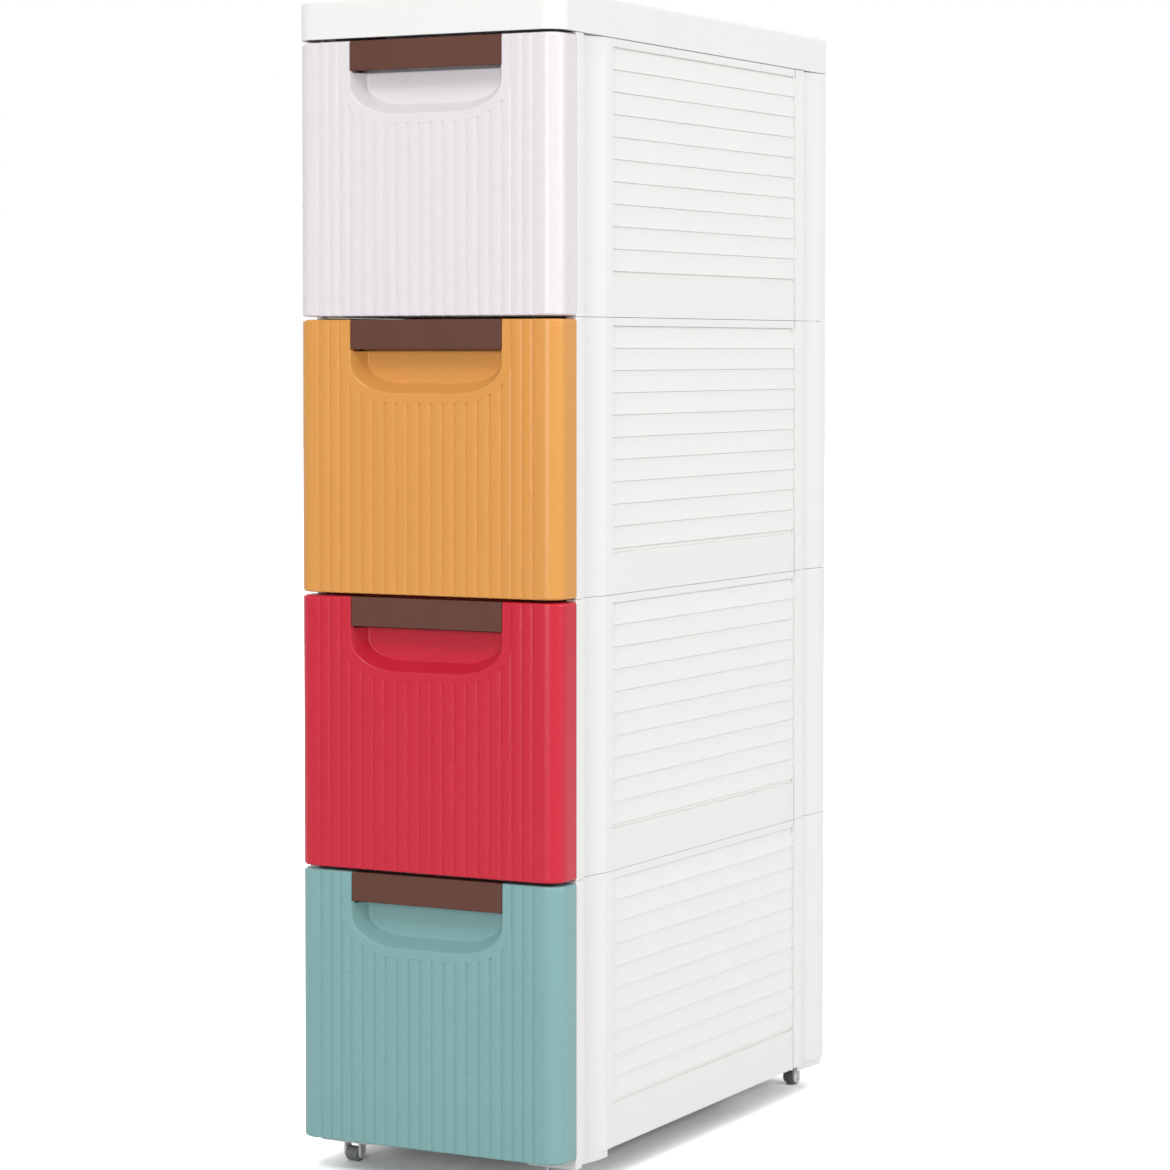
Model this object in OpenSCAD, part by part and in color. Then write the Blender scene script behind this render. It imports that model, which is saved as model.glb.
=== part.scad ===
// Slim drawer tower: four stacked tiers of moulded side panels, back panels and frames under one cover,
// with a pull-out drawer in each tier and four small swivel casters below.
// Front faces -Y, +X is the viewer's right, the floor is Z = 0 and the origin is under the middle.
// Depths written as "t" run back from the plane of the drawer fronts.

/* [Tower] */
// Width over the side panels
tower_w = 200; // [180:1:260]
// Depth from the drawer fronts to the back edge of the panels
tower_d = 425; // [400:1:520]
// Height of one tier
tier_h = 185; // [172:1:230]
// Height of the panels' lower edge above the floor
ground_gap = 20; // [18:0.5:30]
// How far the lowest panels hang below their frame's datum
base_lip = 1.7; // [0.5:0.1:3]
// Open seam between stacked tiers
seam = 0.3; // [0.1:0.1:1]

/* [Cover] */
// Height of the cover's skirt
cover_h = 25.5; // [16:0.5:40]
// Overhang of the cover past the panels and drawer fronts
cover_over = 0.8; // [0:0.1:4]
// Radius of the cover's upright corners
cover_r = 14; // [12:0.5:18]
// Wall of the cover
cover_wall = 3; // [2:0.1:4]
// Chamfer around the top edge of the cover
cover_edge = 2; // [0.5:0.1:2.5]
// Height of the skirt's lower edge above the top tier
cover_lift = 0.4; // [0.1:0.1:1.5]

/* [Side panels] */
// Thickness from the outer plane to the flat inner face
panel_t = 7.5; // [7:0.1:10]
// Wall left behind the slats
panel_skin = 2.2; // [1.6:0.1:2.6]
// Length of the flat lip behind each drawer front
lip_len = 9.8; // [8:0.1:14]
// Depth of the upright groove behind the lip
post_groove = 3.5; // [2:0.1:4.5]
// Length of the groove's floor
post_floor = 3; // [1:0.5:6]
// Length of the curved run from the groove out to the panel's face
post_ramp = 28; // [16:1:36]
// Length of the flat strip ahead of the slats
post_flat = 9; // [5:0.5:16]
// How far the panel's middle lies below the posts
field_step = 0.35; // [0.1:0.05:0.6]
// Length of the rear post
rear_post = 40.4; // [36:0.2:50]
// Depth of the step into the rear post
rear_step = 3; // [1.5:0.1:4]
// Length of the curved run out of the rear step
rear_ramp = 34.6; // [20:0.2:34.6]
// Plain strip between the slats and the rear post
rear_strip = 14.6; // [8:0.2:24]
// Number of slats
slat_count = 10; // [6:1:11]
// Height of one slat
slat_pitch = 14.87; // [10:0.01:15]
// Distance from the top of the panel to the first slat
slat_top = 5.3; // [3:0.1:8]
// Depth of the ledge under each slat
slat_depth = 1.1; // [0.5:0.05:1.4]
// Height of the groove under the last slat
sill_h = 2.5; // [1.5:0.1:5]

/* [Back panels] */
// Thickness of the back panels
back_t = 2.8; // [2:0.1:4]
// Distance from the back edge of the side panels to the back panel
back_inset = 6; // [4:0.5:10]
// Depth of the back panel's grooves
back_groove = 0.8; // [0.3:0.1:1.2]
// Distance of the grooves' ends from the side panels
back_margin = 12; // [6:1:30]

/* [Tier frames] */
// Height of a tier frame
frame_h = 12; // [10:0.5:16]
// Thickness of a frame's deck
deck_t = 2.6; // [2:0.1:4]
// Ribs and rims under the deck
frame_rib = 2.4; // [1.6:0.1:4]
// How far the frames and back panels reach into the side panels
housing = 2.5; // [1.5:0.1:3]
// Height of the rails that a drawer runs on
rail_h = 2; // [1.5:0.1:4]
// Width of the rails
rail_w = 6; // [4:0.5:10]
// Distance of the rails in from the drawer boxes' sides
rail_in = 14; // [8:0.5:20]

/* [Stacking pins] */
// Radius of the pins between stacked panels
pin_r = 1.75; // [1:0.05:1.8]
// Length of the pins
pin_len = 12; // [8:1:20]

/* [Drawer fronts] */
// Depth of a drawer front's sides
front_depth = 25.2; // [24:0.1:34]
// Gap between a drawer front and the panels behind it
front_gap = 0.4; // [0.3:0.1:1.5]
// Radius of the front's upright corners
front_r = 12; // [8:0.5:16]
// Wall of the drawer front
front_wall = 2.5; // [2:0.1:3]
// Gap below each drawer front
front_low_gap = 0.45; // [0.3:0.05:2]
// Gap above each drawer front
front_high_gap = 1.6; // [0.8:0.1:4]
// Spacing of the grooves below the handle
rib_pitch = 8.9; // [7.5:0.05:9]
// Number of rib spacings across the handle
rib_span = 13; // [11:2:13]
// Spacing of the grooves beside the handle
side_pitch = 7.88; // [6:0.02:9]
// Number of grooves on each side of the handle
side_ribs = 3; // [2:1:3]
// Width of a groove
groove_w = 1.6; // [0.8:0.1:2.4]
// Depth of a groove
groove_d = 0.7; // [0.3:0.05:1]

/* [Handle] */
// Depth of the handle's cut-out below the top of the front
handle_h = 49.4; // [44:0.2:60]
// Width of the cut-out's rounded lower corners
handle_a = 36; // [26:0.5:40]
// Height of the cut-out's rounded lower corners
handle_b = 20.5; // [14:0.5:22]
// Plain rim beside the cut-out
rim_side = 7; // [4:0.5:7.5]
// Plain rim under the cut-out
rim_low = 6; // [4:0.5:12]
// Depth of the finger recess
recess_d = 12.3; // [9:0.1:13]
// How far the recess walls lean in
recess_lean = 7; // [3:0.5:9]
// Height of the pull bar
bar_h = 20; // [14:0.5:22]
// Thickness of the pull bar's face
bar_t = 3; // [2:0.1:4]
// How far the pull bar's face sits behind the front
bar_back = 0.4; // [0:0.1:1.5]
// Depth of the pull bar's top flange
bar_flange = 12; // [8:0.5:13]
// Gap around the pull bar's ends
bar_gap = 0.15; // [0.05:0.05:0.5]

/* [Drawer boxes] */
// Clearance between a drawer box and each side panel
box_side_gap = 1.5; // [1.2:0.1:4]
// Wall of a drawer box
box_wall = 2.2; // [1.6:0.1:3]
// Floor of a drawer box
box_floor = 2.5; // [1.8:0.1:4]
// Height of a drawer box
box_h = 155; // [145:1:155]
// Radius of the box's upright corners
box_r = 6; // [4:0.5:10]
// Place of the box's front wall behind the drawer front
box_t = 19; // [18:0.1:21]
// Room between a closed drawer box and the back panel
box_back_gap = 8; // [5:0.5:30]
// Bead around the top of the box
bead = 1; // [0.4:0.1:1]
// Height of the bead
bead_h = 4; // [2:0.5:8]
// Running gap between the box and its rails
run_gap = 0.3; // [0.2:0.05:0.6]
// Travel of a drawer to its stop
drawer_travel = 300; // [200:5:300]
// Half the spacing of the stops under the box
stop_x = 50; // [30:1:55]
// Distance of the stops from the back of the box
stop_in = 12; // [8:0.5:20]

/* [Drawer screws] */
// Radius of the screws' shanks
screw_r = 1.25; // [1:0.05:1.6]
// Radius of the screws' heads
screw_head_r = 3.5; // [2.8:0.1:4.5]
// Height of the screws' heads
screw_head_h = 1.8; // [1.2:0.1:2.2]
// Length of the screws' shanks
screw_len = 12; // [8:0.5:14]
// Radius of the bosses that take the screws
boss_r = 4; // [3.2:0.1:5]
// Distance of the bosses in from the outer planes
boss_in = 24; // [20:0.5:26]
// Height of the lower bosses above the drawer front's lower edge
boss_low = 32; // [26:1:50]
// Height of the upper bosses above the drawer front's lower edge
boss_high = 128; // [100:1:135]

/* [Feet and casters] */
// Height of the feet below the panels
foot_h = 5.5; // [4:0.1:8]
// How far the feet lie inside the panels' outline
foot_inset = 1.5; // [0.5:0.1:2.4]
// Wall of the feet
foot_wall = 2.5; // [2:0.1:4]
// Length of the front feet along the tower
foot_front = 47; // [44:1:60]
// Reach of the feet in from the side panels
foot_reach = 38; // [36:1:50]
// Swivel axis to the outer plane of the side panel
caster_x = 22; // [21:0.5:26]
// Swivel axis behind the plane of the drawer fronts, front casters
caster_front = 43; // [43:0.5:50]
// Swivel axis to the back edge of the panels, rear casters
caster_rear = 21; // [20:0.5:26]
// Radius of the caster wheels
wheel_r = 5; // [4:0.1:5.5]
// Width of the caster wheels
wheel_w = 10; // [7:0.5:11]
// Offset of the wheel from the swivel axis
trail = 5; // [3:0.1:6]
// Radius of the wheel axle
axle_r = 1.25; // [1:0.05:1.4]
// Radius of the fork arm's rounded end
arm_r = 2.8; // [2.5:0.1:3.4]
// Thickness of the fork arms
arm_t = 2; // [1.6:0.1:3]
// Thickness of the fork's top plate
hood_t = 2; // [1.6:0.1:2.4]
// Radius of the fork's top plate
hood_r = 9; // [8.5:0.1:9.6]
// Radius of the swivel stem
stem_r = 3; // [2:0.1:3.5]

/* [Hidden] */

tiers = 4;
base_z = ground_gap + base_lip;         // datum of the lowest tier
stack_top = base_z + tiers * tier_h;    // top of the uppermost panels
half_w = tower_w / 2;
inner_half = half_w - panel_t;          // flat inner face of the side panels
panel_front = front_depth + front_gap;  // t of the panels' front edge
cut = 1;                                // overrun of a cutting solid
fit = 0.1;                              // gap between fixed mating pieces
pin_fit = 0.05;                         // radial gap of the stacking pins
run_fit = 0.08;                         // radial gap of turning pins and shafts

// Upright profile of a side panel along its depth, as t
t_lip = panel_front + lip_len;
t_groove = t_lip + 1.6;
t_ramp = t_groove + post_floor;
t_flat = t_ramp + post_ramp;
t_field = t_flat + post_flat;
t_rear = tower_d - rear_post;
t_slat_end = t_rear - rear_strip;
rear_lead = 0.8;                        // run of the rear step
ramp_steps = 10;
panel_edge_r = 2;
pin_d = 3;                              // pin centres in from the outer plane
pin_front_t = panel_front + 5.5;
back_slot_t = tower_d - back_inset - back_t;
pin_rear_t = tower_d - 7.5;

// Handle outline
handle_half = rib_pitch * rib_span / 2;
front_h = tier_h - front_low_gap - front_high_gap;
arc_steps = 10;
grip_wall = 2.2;                        // walls around the finger recess
lip_drop = 0.7;                         // recess's back wall ends this far below the bar

// Drawer box in its tier
box_half = inner_half - box_side_gap;
boss_x = half_w - boss_in;
box_back_t = back_slot_t - box_back_gap;
box_low = frame_h + rail_h + run_gap;   // underside of the box above the tier's datum
rail_x = box_half - rail_in;
stop_len = 4;
stop_w = 12;
stop_gap = 0.4;
stop_t = box_back_t - stop_in;               // t of the front face of the box's stops

// Frame between the side panels
frame_half = inner_half + housing - fit;
frame_front_t = panel_front + fit;
frame_back_t = back_slot_t - fit;
frame_cells = 4;

// Casters
wheel_z = wheel_r;
hood_gap = 0.4;
hood_low = ground_gap + hood_gap;
hood_high = hood_low + hood_t;
pocket_high = hood_high + hood_gap;
stem_top = base_z + frame_h - deck_t - 0.6;
arm_gap = 0.3;                          // gap between the wheel and each arm
arm_in = wheel_w / 2 + arm_gap;
arm_out = arm_in + arm_t;
fork_sweep = sqrt(pow(trail + arm_r, 2) + pow(arm_out, 2));
pocket_r = max(hood_r, fork_sweep) + hood_gap;
// Resting turn of each caster about its stem: front left, front right, rear left, rear right
turn = [-8, 14, 24, 148];

cover_white = [0.95, 0.95, 0.94];
panel_white = [0.93, 0.93, 0.92];
caster_grey = [0.86, 0.87, 0.87];
wheel_grey = [0.16, 0.16, 0.17];
bar_brown = [0.42, 0.29, 0.26];
steel = [0.7, 0.7, 0.72];
// Drawer colours from the top tier down
drawer_colour = [[0.93, 0.91, 0.94], [0.88, 0.62, 0.33], [0.82, 0.22, 0.28], [0.54, 0.70, 0.69]];

function y_at(t) = t - tower_d / 2;
function tier_z(tier) = base_z + (tiers - tier) * tier_h;
function ease(s) = (1 - cos(180 * s)) / 2;

// Box from low and high corners, with its depth given as t
module block(x0, x1, t0, t1, z0, z1) {
    translate([x0, y_at(t0), z0]) cube([x1 - x0, t1 - t0, z1 - z0]);
}

// Cylinder along the depth, from t0 back to t1
module depth_rod(x, z, t0, t1, r) {
    translate([x, y_at(t0), z]) rotate([-90, 0, 0]) cylinder(r = r, h = t1 - t0, $fn = 48);
}

// ---- Cover ----

// Plan of a rounded rectangle
module rounded_plan(w, d, r) {
    square([w - 2 * r, d], center = true);
    square([w, d - 2 * r], center = true);
    for (x = [-1, 1], y = [-1, 1]) translate([x * (w / 2 - r), y * (d / 2 - r)]) circle(r = r, $fn = 64);
}

module cover_shell(low) {
    w = tower_w + 2 * cover_over;
    d = tower_d + 2 * cover_over;
    difference() {
        hull() {
            translate([0, 0, low]) linear_extrude(cover_h - cover_edge) rounded_plan(w, d, cover_r);
            translate([0, 0, low]) linear_extrude(cover_h)
                rounded_plan(w - 2 * cover_edge, d - 2 * cover_edge, cover_r - cover_edge);
        }
        translate([0, 0, low - cut]) linear_extrude(cover_h - cover_wall + cut)
            rounded_plan(w - 2 * cover_wall, d - 2 * cover_wall, cover_r - cover_wall);
    }
}

module top_cover() {
    low = stack_top + cover_lift;
    under = low + cover_h - cover_wall;   // inside of the cover's top
    rib = 2;
    rib_in = pin_d + pin_r + fit;         // ribs this far inside the outer plane
    cross_drop = 6;                       // cross ribs end this far above the panels
    color(cover_white) difference() {
        union() {
            cover_shell(low);
            // Ribs that stand on the top edges of the panels
            for (side = [-1, 1]) translate([side * (half_w - rib_in - rib / 2) - rib / 2, y_at(t_ramp), stack_top])
                cube([rib, t_rear - t_ramp, under - stack_top + cut]);
            for (i = [1 : 3]) block(-half_w + rib_in, half_w - rib_in, i * tower_d / 4, i * tower_d / 4 + rib,
                stack_top + cross_drop, under + cut);
            // Bosses for the pins of the top tier
            for (side = [-1, 1], t = [pin_front_t, pin_rear_t])
                translate([side * (half_w - pin_d), y_at(t), stack_top])
                    cylinder(r = pin_r + 1.5, h = under - stack_top + cut, $fn = 48);
        }
        for (side = [-1, 1], t = [pin_front_t, pin_rear_t])
            translate([side * (half_w - pin_d), y_at(t), stack_top - cut])
                cylinder(r = pin_r + pin_fit, h = pin_len / 2 + fit + cut, $fn = 32);
    }
}

// ---- Side panels ----

// Outer line of a panel as [inset from the outer plane, t]
panel_line = concat(
    [[0.6, panel_front], [0, panel_front + 0.6], [0, t_lip]],
    [for (i = [0 : ramp_steps]) [post_groove * (1 - ease(i / ramp_steps)), t_ramp + post_ramp * i / ramp_steps]],
    [[0, t_field], [field_step, t_field], [field_step, t_rear]],
    [for (i = [0 : ramp_steps]) [rear_step * (1 - ease(i / ramp_steps)),
        t_rear + rear_lead + rear_ramp * i / ramp_steps]],
    [for (i = [0 : 4]) [panel_edge_r * (1 - cos(22.5 * i)), tower_d - panel_edge_r * (1 - sin(22.5 * i))]]
);

// Plan of the right panel, with its line moved in by inset and a flat face at inner
module panel_plan(inset, inner) {
    line = concat([panel_line[0], panel_line[1], panel_line[2], [post_groove, t_groove]],
        [for (i = [3 : len(panel_line) - 1]) panel_line[i]]);
    polygon(concat(
        [for (p = line) [half_w - p[0] - inset, y_at(min(max(p[1], panel_front + inset), tower_d - inset))]],
        [[half_w - inner, y_at(tower_d - inset)], [half_w - inner, y_at(panel_front + inset)]]
    ));
}

// Saw-tooth section of the slats, and the groove under them
module slat_section(top) {
    face = half_w - field_step;
    low = slat_top + slat_count * slat_pitch;
    polygon(concat(
        [[half_w + cut, top - slat_top]],
        [for (i = [0 : slat_count - 1], end = [0, 1])
            [face - (end == 0 ? slat_depth : 0), top - slat_top - (i + end) * slat_pitch]],
        [[half_w + cut, top - low]]
    ));
    polygon([[face + cut, top - low - sill_h], [face, top - low - sill_h], [face - slat_depth, top - low - 0.6],
        [face - slat_depth, top - low], [face + cut, top - low]]);
}

module right_panel(tier) {
    datum = tier_z(tier);
    low = datum - (tier == tiers ? base_lip : 0);
    high = datum + tier_h - seam;
    rim = 7;
    cells = 3;
    cell_start = t_flat;
    cell_end = t_rear - 4;
    cell_len = (cell_end - cell_start - (cells - 1) * frame_rib) / cells;
    pocket_in = field_step + slat_depth + panel_skin;
    difference() {
        translate([0, 0, low]) linear_extrude(high - low) panel_plan(0, panel_t);
        // Slats
        translate([0, y_at(t_slat_end), 0]) rotate([90, 0, 0]) linear_extrude(t_slat_end - t_field)
            slat_section(high);
        // Hollows between the ribs of the inner face
        for (i = [0 : cells - 1]) {
            start = cell_start + i * (cell_len + frame_rib);
            block(inner_half - cut, half_w - pocket_in, start, start + cell_len, datum + frame_h + rim, high - rim);
        }
        // Housings for the frame and the back panel
        block(inner_half - cut, inner_half + housing, panel_front - cut, back_slot_t, low - cut,
            datum + frame_h + fit);
        block(inner_half - cut, inner_half + housing, back_slot_t - fit, back_slot_t + back_t + fit,
            low - cut, high + cut);
        // Pin holes
        for (t = [pin_front_t, pin_rear_t], end = [0, 1])
            if (end == 1 || tier < tiers)
                translate([half_w - pin_d, y_at(t), end == 0 ? low - cut : high - (pin_len - seam) / 2 - fit])
                    cylinder(r = pin_r + pin_fit, h = (pin_len - seam) / 2 + fit + cut, $fn = 32);
    }
}

module left_panel(tier) {
    mirror([1, 0, 0]) right_panel(tier);
}

module stacking_pins() {
    color(panel_white) for (tier = [1 : tiers], side = [-1, 1], t = [pin_front_t, pin_rear_t])
        translate([side * (half_w - pin_d), y_at(t), tier_z(tier) + tier_h - seam / 2 - pin_len / 2])
            cylinder(r = pin_r, h = pin_len, $fn = 32);
}

// ---- Back panels ----

module back_panel(tier) {
    datum = tier_z(tier);
    low = datum + fit;
    high = datum + tier_h - seam;
    half = inner_half + housing - fit;
    back = back_slot_t + back_t;
    color(panel_white) difference() {
        block(-half, half, back_slot_t, back, low, high);
        for (i = [0 : slat_count]) translate([0, y_at(back), high - slat_top - i * slat_pitch])
            rotate([45, 0, 0]) cube([2 * (inner_half - back_margin), back_groove * sqrt(2), back_groove * sqrt(2)], center = true);
    }
}

// ---- Tier frames ----

// Deck, rims, ribs and rails, from low up to the deck's top at datum + frame_h
module frame_body(datum, low) {
    top = datum + frame_h;
    cell_l = (frame_back_t - frame_front_t - (frame_cells + 1) * frame_rib) / frame_cells;
    cell_w = frame_half - 1.5 * frame_rib - housing;
    difference() {
        block(-frame_half, frame_half, frame_front_t, frame_back_t, low, top);
        for (i = [0 : frame_cells - 1], side = [0, 1]) {
            start = frame_front_t + frame_rib + i * (cell_l + frame_rib);
            left = side == 0 ? -frame_rib / 2 - cell_w : frame_rib / 2;
            block(left, left + cell_w, start, start + cell_l, low - cut, top - deck_t);
        }
    }
    for (side = [-1, 1]) {
        block(side * rail_x - rail_w / 2, side * rail_x + rail_w / 2, frame_front_t, frame_back_t - 2,
            top - cut, top + rail_h);
        // Stop that the drawer meets at the end of its travel
        block(side * stop_x - stop_w / 2, side * stop_x + stop_w / 2,
            stop_t - drawer_travel - stop_gap - stop_len, stop_t - drawer_travel - stop_gap,
            top - cut, top + rail_h - 0.3);
    }
}

module tier_frame(tier) {
    color(panel_white) frame_body(tier_z(tier), tier_z(tier));
}

// Places a child at each swivel axis; i is the corner: front left, front right, rear left, rear right
module at_caster(i) {
    side = i % 2 == 0 ? -1 : 1;
    t = i < 2 ? caster_front : tower_d - caster_rear;
    translate([side * (half_w - caster_x), y_at(t), 0]) children();
}

// Foot under the right front or right rear post
module foot(rear) {
    start = rear ? t_rear + foot_inset : panel_front + foot_inset;
    end = rear ? tower_d - foot_inset : panel_front + foot_front;
    inner = half_w - foot_reach;
    low = ground_gap - foot_h;
    intersection() {
        difference() {
            translate([0, 0, low]) linear_extrude(foot_h) panel_plan(foot_inset, foot_reach);
            // Hollow under the foot's plate, open towards the tower's middle
            translate([0, 0, low - cut]) linear_extrude(foot_h - foot_wall + cut)
                polygon(rear
                    ? [[inner - cut, y_at(start) - cut], [half_w - foot_inset - rear_step - foot_wall, y_at(start) - cut],
                        [half_w - foot_inset - foot_wall, y_at(end - foot_wall)], [inner - cut, y_at(end - foot_wall)]]
                    : [[inner - cut, y_at(start + foot_wall)],
                        [half_w - foot_inset - foot_wall - post_groove, y_at(start + foot_wall)],
                        [half_w - foot_inset - foot_wall - post_groove, y_at(end) + cut],
                        [inner - cut, y_at(end) + cut]]);
        }
        block(inner, half_w, start, end, low - cut, ground_gap + cut);
    }
}

module base_frame() {
    color(panel_white) difference() {
        union() {
            frame_body(base_z, ground_gap);
            for (side = [0, 1]) mirror([side, 0, 0]) {
                foot(false);
                foot(true);
            }
            // Sockets of the casters
            intersection() {
                for (i = [0 : 3]) at_caster(i) translate([0, 0, ground_gap])
                    cylinder(r = pocket_r + frame_rib, h = base_z + frame_h - deck_t - ground_gap + fit, $fn = 64);
                block(-frame_half, frame_half, frame_front_t, frame_back_t, ground_gap, base_z + frame_h);
            }
        }
        for (i = [0 : 3]) at_caster(i) {
            translate([0, 0, ground_gap - foot_h - cut])
                cylinder(r = pocket_r, h = pocket_high - ground_gap + foot_h + cut, $fn = 64);
            cylinder(r = stem_r + run_fit, h = stem_top + hood_gap, $fn = 48);
        }
    }
}

// ---- Drawers ----

// Right half of the handle's outline, grown by side and low, as points from the bottom's middle up
function handle_arc(side, low) = [for (i = [0 : arc_steps])
    [handle_half - handle_a + (handle_a + side) * sin(90 * i / arc_steps),
        front_h - handle_h + handle_b - (handle_b + low) * cos(90 * i / arc_steps)]];

// Outline of the handle in X and Z, up to height top
module handle_plan(side, low, top) {
    arc = handle_arc(side, low);
    n = len(arc);
    polygon(concat(
        [for (i = [0 : n - 1]) arc[i]],
        [[handle_half + side, top], [-handle_half - side, top]],
        [for (i = [n - 1 : -1 : 0]) [-arc[i][0], arc[i][1]]]
    ));
}

// Upright plate with that outline, from t0 back to t1, above the drawer front's lower edge at z
module handle_plate(side, low, top, t0, t1, z) {
    translate([0, y_at(t1), z]) rotate([90, 0, 0]) linear_extrude(t1 - t0) handle_plan(side, low, top);
}

// Plan of a drawer front, moved in by inset: square at the back, with round corners at the front
module front_plan(inset, back) {
    r = front_r - inset;
    w = tower_w - 2 * inset;
    for (x = [-1, 1]) translate([x * (w / 2 - r), y_at(front_r)]) circle(r = r, $fn = 64);
    translate([-w / 2 + r, y_at(inset)]) square([w - 2 * r, back - inset]);
    translate([-w / 2, y_at(front_r)]) square([w, back - front_r]);
}

groove_xs = concat(
    [for (i = [0 : (rib_span - 1) / 2]) (i + 0.5) * rib_pitch],
    [for (i = [1 : side_ribs]) handle_half + i * side_pitch]
);

// Height at which the groove at x ends, above the drawer front's lower edge
function groove_top(x) = x > handle_half + rim_side ? front_h + cut
    : x < handle_half - handle_a ? front_h - handle_h - rim_low
    : front_h - handle_h + handle_b
        - (handle_b + rim_low) * sqrt(1 - pow((x - handle_half + handle_a) / (handle_a + rim_side), 2));

module drawer_front(tier) {
    z = tier_z(tier) + front_low_gap;
    shelf = front_h - bar_h;   // the pull bar's lower edge
    cheek = 12;                // cheeks reach this far below that edge
    color(drawer_colour[tier - 1]) difference() {
        union() {
            difference() {
                translate([0, 0, z]) linear_extrude(front_h) front_plan(0, front_depth);
                translate([0, 0, z + front_wall]) linear_extrude(front_h - 2 * front_wall)
                    front_plan(front_wall, front_depth + cut);
            }
            // Bosses for the screws
            for (x = [-boss_x, boss_x], h = [boss_low, boss_high])
                depth_rod(x, z + h, front_wall - cut, box_t, boss_r);
            // Outside of the finger recess
            hull() {
                handle_plate(grip_wall, grip_wall, shelf - lip_drop, 0, 0.1, z);
                handle_plate(grip_wall - recess_lean, grip_wall - recess_lean, shelf - lip_drop,
                    recess_d + grip_wall - 0.1, recess_d + grip_wall, z);
            }
            // Cheeks beside the pull bar
            for (x = [-1, 1]) translate([x * (handle_half + grip_wall / 2) - grip_wall / 2, y_at(cut), z + shelf - cheek])
                cube([grip_wall, bar_back + bar_flange, front_h - shelf + cheek - cut]);
        }
        // Finger recess and the seat of the pull bar
        hull() {
            handle_plate(0, 0, shelf, -0.1, 0, z);
            handle_plate(-recess_lean, -recess_lean, shelf, recess_d - 0.1, recess_d, z);
        }
        block(-handle_half, handle_half, -cut, recess_d + grip_wall + cut, z + shelf, z + front_h + cut);
        block(-handle_half + recess_lean, handle_half - recess_lean, recess_d - cut, recess_d + grip_wall + cut,
            z + shelf - lip_drop, z + shelf + cut);
        // Grooves between the ribs
        for (x = groove_xs, side = [-1, 1]) translate([side * x, y_at(0), z - cut])
            linear_extrude(groove_top(x) + cut)
                polygon([[-groove_w / 2, -0.01], [0, groove_d], [groove_w / 2, -0.01]]);
        // Pilot holes of the screws
        for (x = [-boss_x, boss_x], h = [boss_low, boss_high])
            depth_rod(x, z + h, box_t - screw_len, box_t + cut, screw_r + pin_fit);
    }
}

module pull_bar(tier) {
    top = tier_z(tier) + front_low_gap + front_h;
    half = handle_half - bar_gap;
    low = top - bar_h + bar_gap;
    color(bar_brown) {
        block(-half, half, bar_back, bar_back + bar_t, low, top);
        block(-half, half, bar_back, bar_back + bar_flange, top - bar_t, top);
        for (x = [-1, 1]) translate([x * (half - bar_t / 2) - bar_t / 2, y_at(bar_back), low])
            cube([bar_t, bar_flange, top - low]);
    }
}

module drawer_box(tier) {
    low = tier_z(tier) + box_low;
    high = low + box_h;
    len_t = box_back_t - box_t;
    mid = y_at((box_back_t + box_t) / 2);
    front_z = tier_z(tier) + front_low_gap;
    color(drawer_colour[tier - 1]) {
        difference() {
            union() {
                translate([0, mid, low]) linear_extrude(box_h) rounded_plan(2 * box_half, len_t, box_r);
                // Bead along the sides and back
                intersection() {
                    translate([0, mid, high - bead_h]) linear_extrude(bead_h)
                        rounded_plan(2 * (box_half + bead), len_t + 2 * bead, box_r + bead);
                    block(-half_w, half_w, front_depth + 6, box_back_t + 2 * bead, low, high + cut);
                }
            }
            translate([0, mid, low + box_floor]) linear_extrude(box_h)
                rounded_plan(2 * (box_half - box_wall), len_t - 2 * box_wall, box_r - box_wall);
            for (x = [-boss_x, boss_x], h = [boss_low, boss_high])
                depth_rod(x, front_z + h, box_t - cut, box_t + box_wall + cut, screw_r + 0.3);
        }
        // Stops under the rear of the box
        for (x = [-stop_x, stop_x]) block(x - stop_w / 2, x + stop_w / 2, stop_t, stop_t + stop_len,
            low - rail_h - run_gap + 0.4, low + 0.5);
    }
}

module drawer_screws(tier) {
    z = tier_z(tier) + front_low_gap;
    seat = box_t + box_wall;
    color(steel) for (x = [-boss_x, boss_x], h = [boss_low, boss_high]) difference() {
        union() {
            depth_rod(x, z + h, seat - screw_len, seat, screw_r);
            depth_rod(x, z + h, seat, seat + screw_head_h, screw_head_r);
        }
        // Cross slot
        for (a = [0, 90]) translate([x, y_at(seat + screw_head_h), z + h]) rotate([0, a, 0])
            cube([0.9, 2 * screw_head_h - 1.2, screw_head_r], center = true);
    }
}

// ---- Casters ----

module caster_fork(i) {
    color(caster_grey) at_caster(i) rotate([0, 0, turn[i]]) difference() {
        union() {
            translate([0, 0, hood_low]) cylinder(r = hood_r, h = hood_t, $fn = 64);
            translate([0, 0, hood_high - cut]) cylinder(r = stem_r, h = stem_top - hood_high + cut, $fn = 48);
            for (side = [-1, 1]) {
                inner = side > 0 ? arm_in : -arm_out;
                translate([inner, -trail, wheel_z]) rotate([0, 90, 0]) cylinder(r = arm_r, h = arm_t, $fn = 48);
                translate([inner, -trail - arm_r, wheel_z]) cube([arm_t, 2 * arm_r, hood_low - wheel_z + 0.5]);
            }
        }
        translate([-arm_out - cut, -trail, wheel_z]) rotate([0, 90, 0])
            cylinder(r = axle_r + 0.02, h = 2 * (arm_out + cut), $fn = 48);
    }
}

module caster_axle(i) {
    end_recess = 0.5;
    color(steel) at_caster(i) rotate([0, 0, turn[i]]) translate([-arm_out + end_recess, -trail, wheel_z])
        rotate([0, 90, 0]) cylinder(r = axle_r, h = 2 * (arm_out - end_recess), $fn = 48);
}

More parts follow.
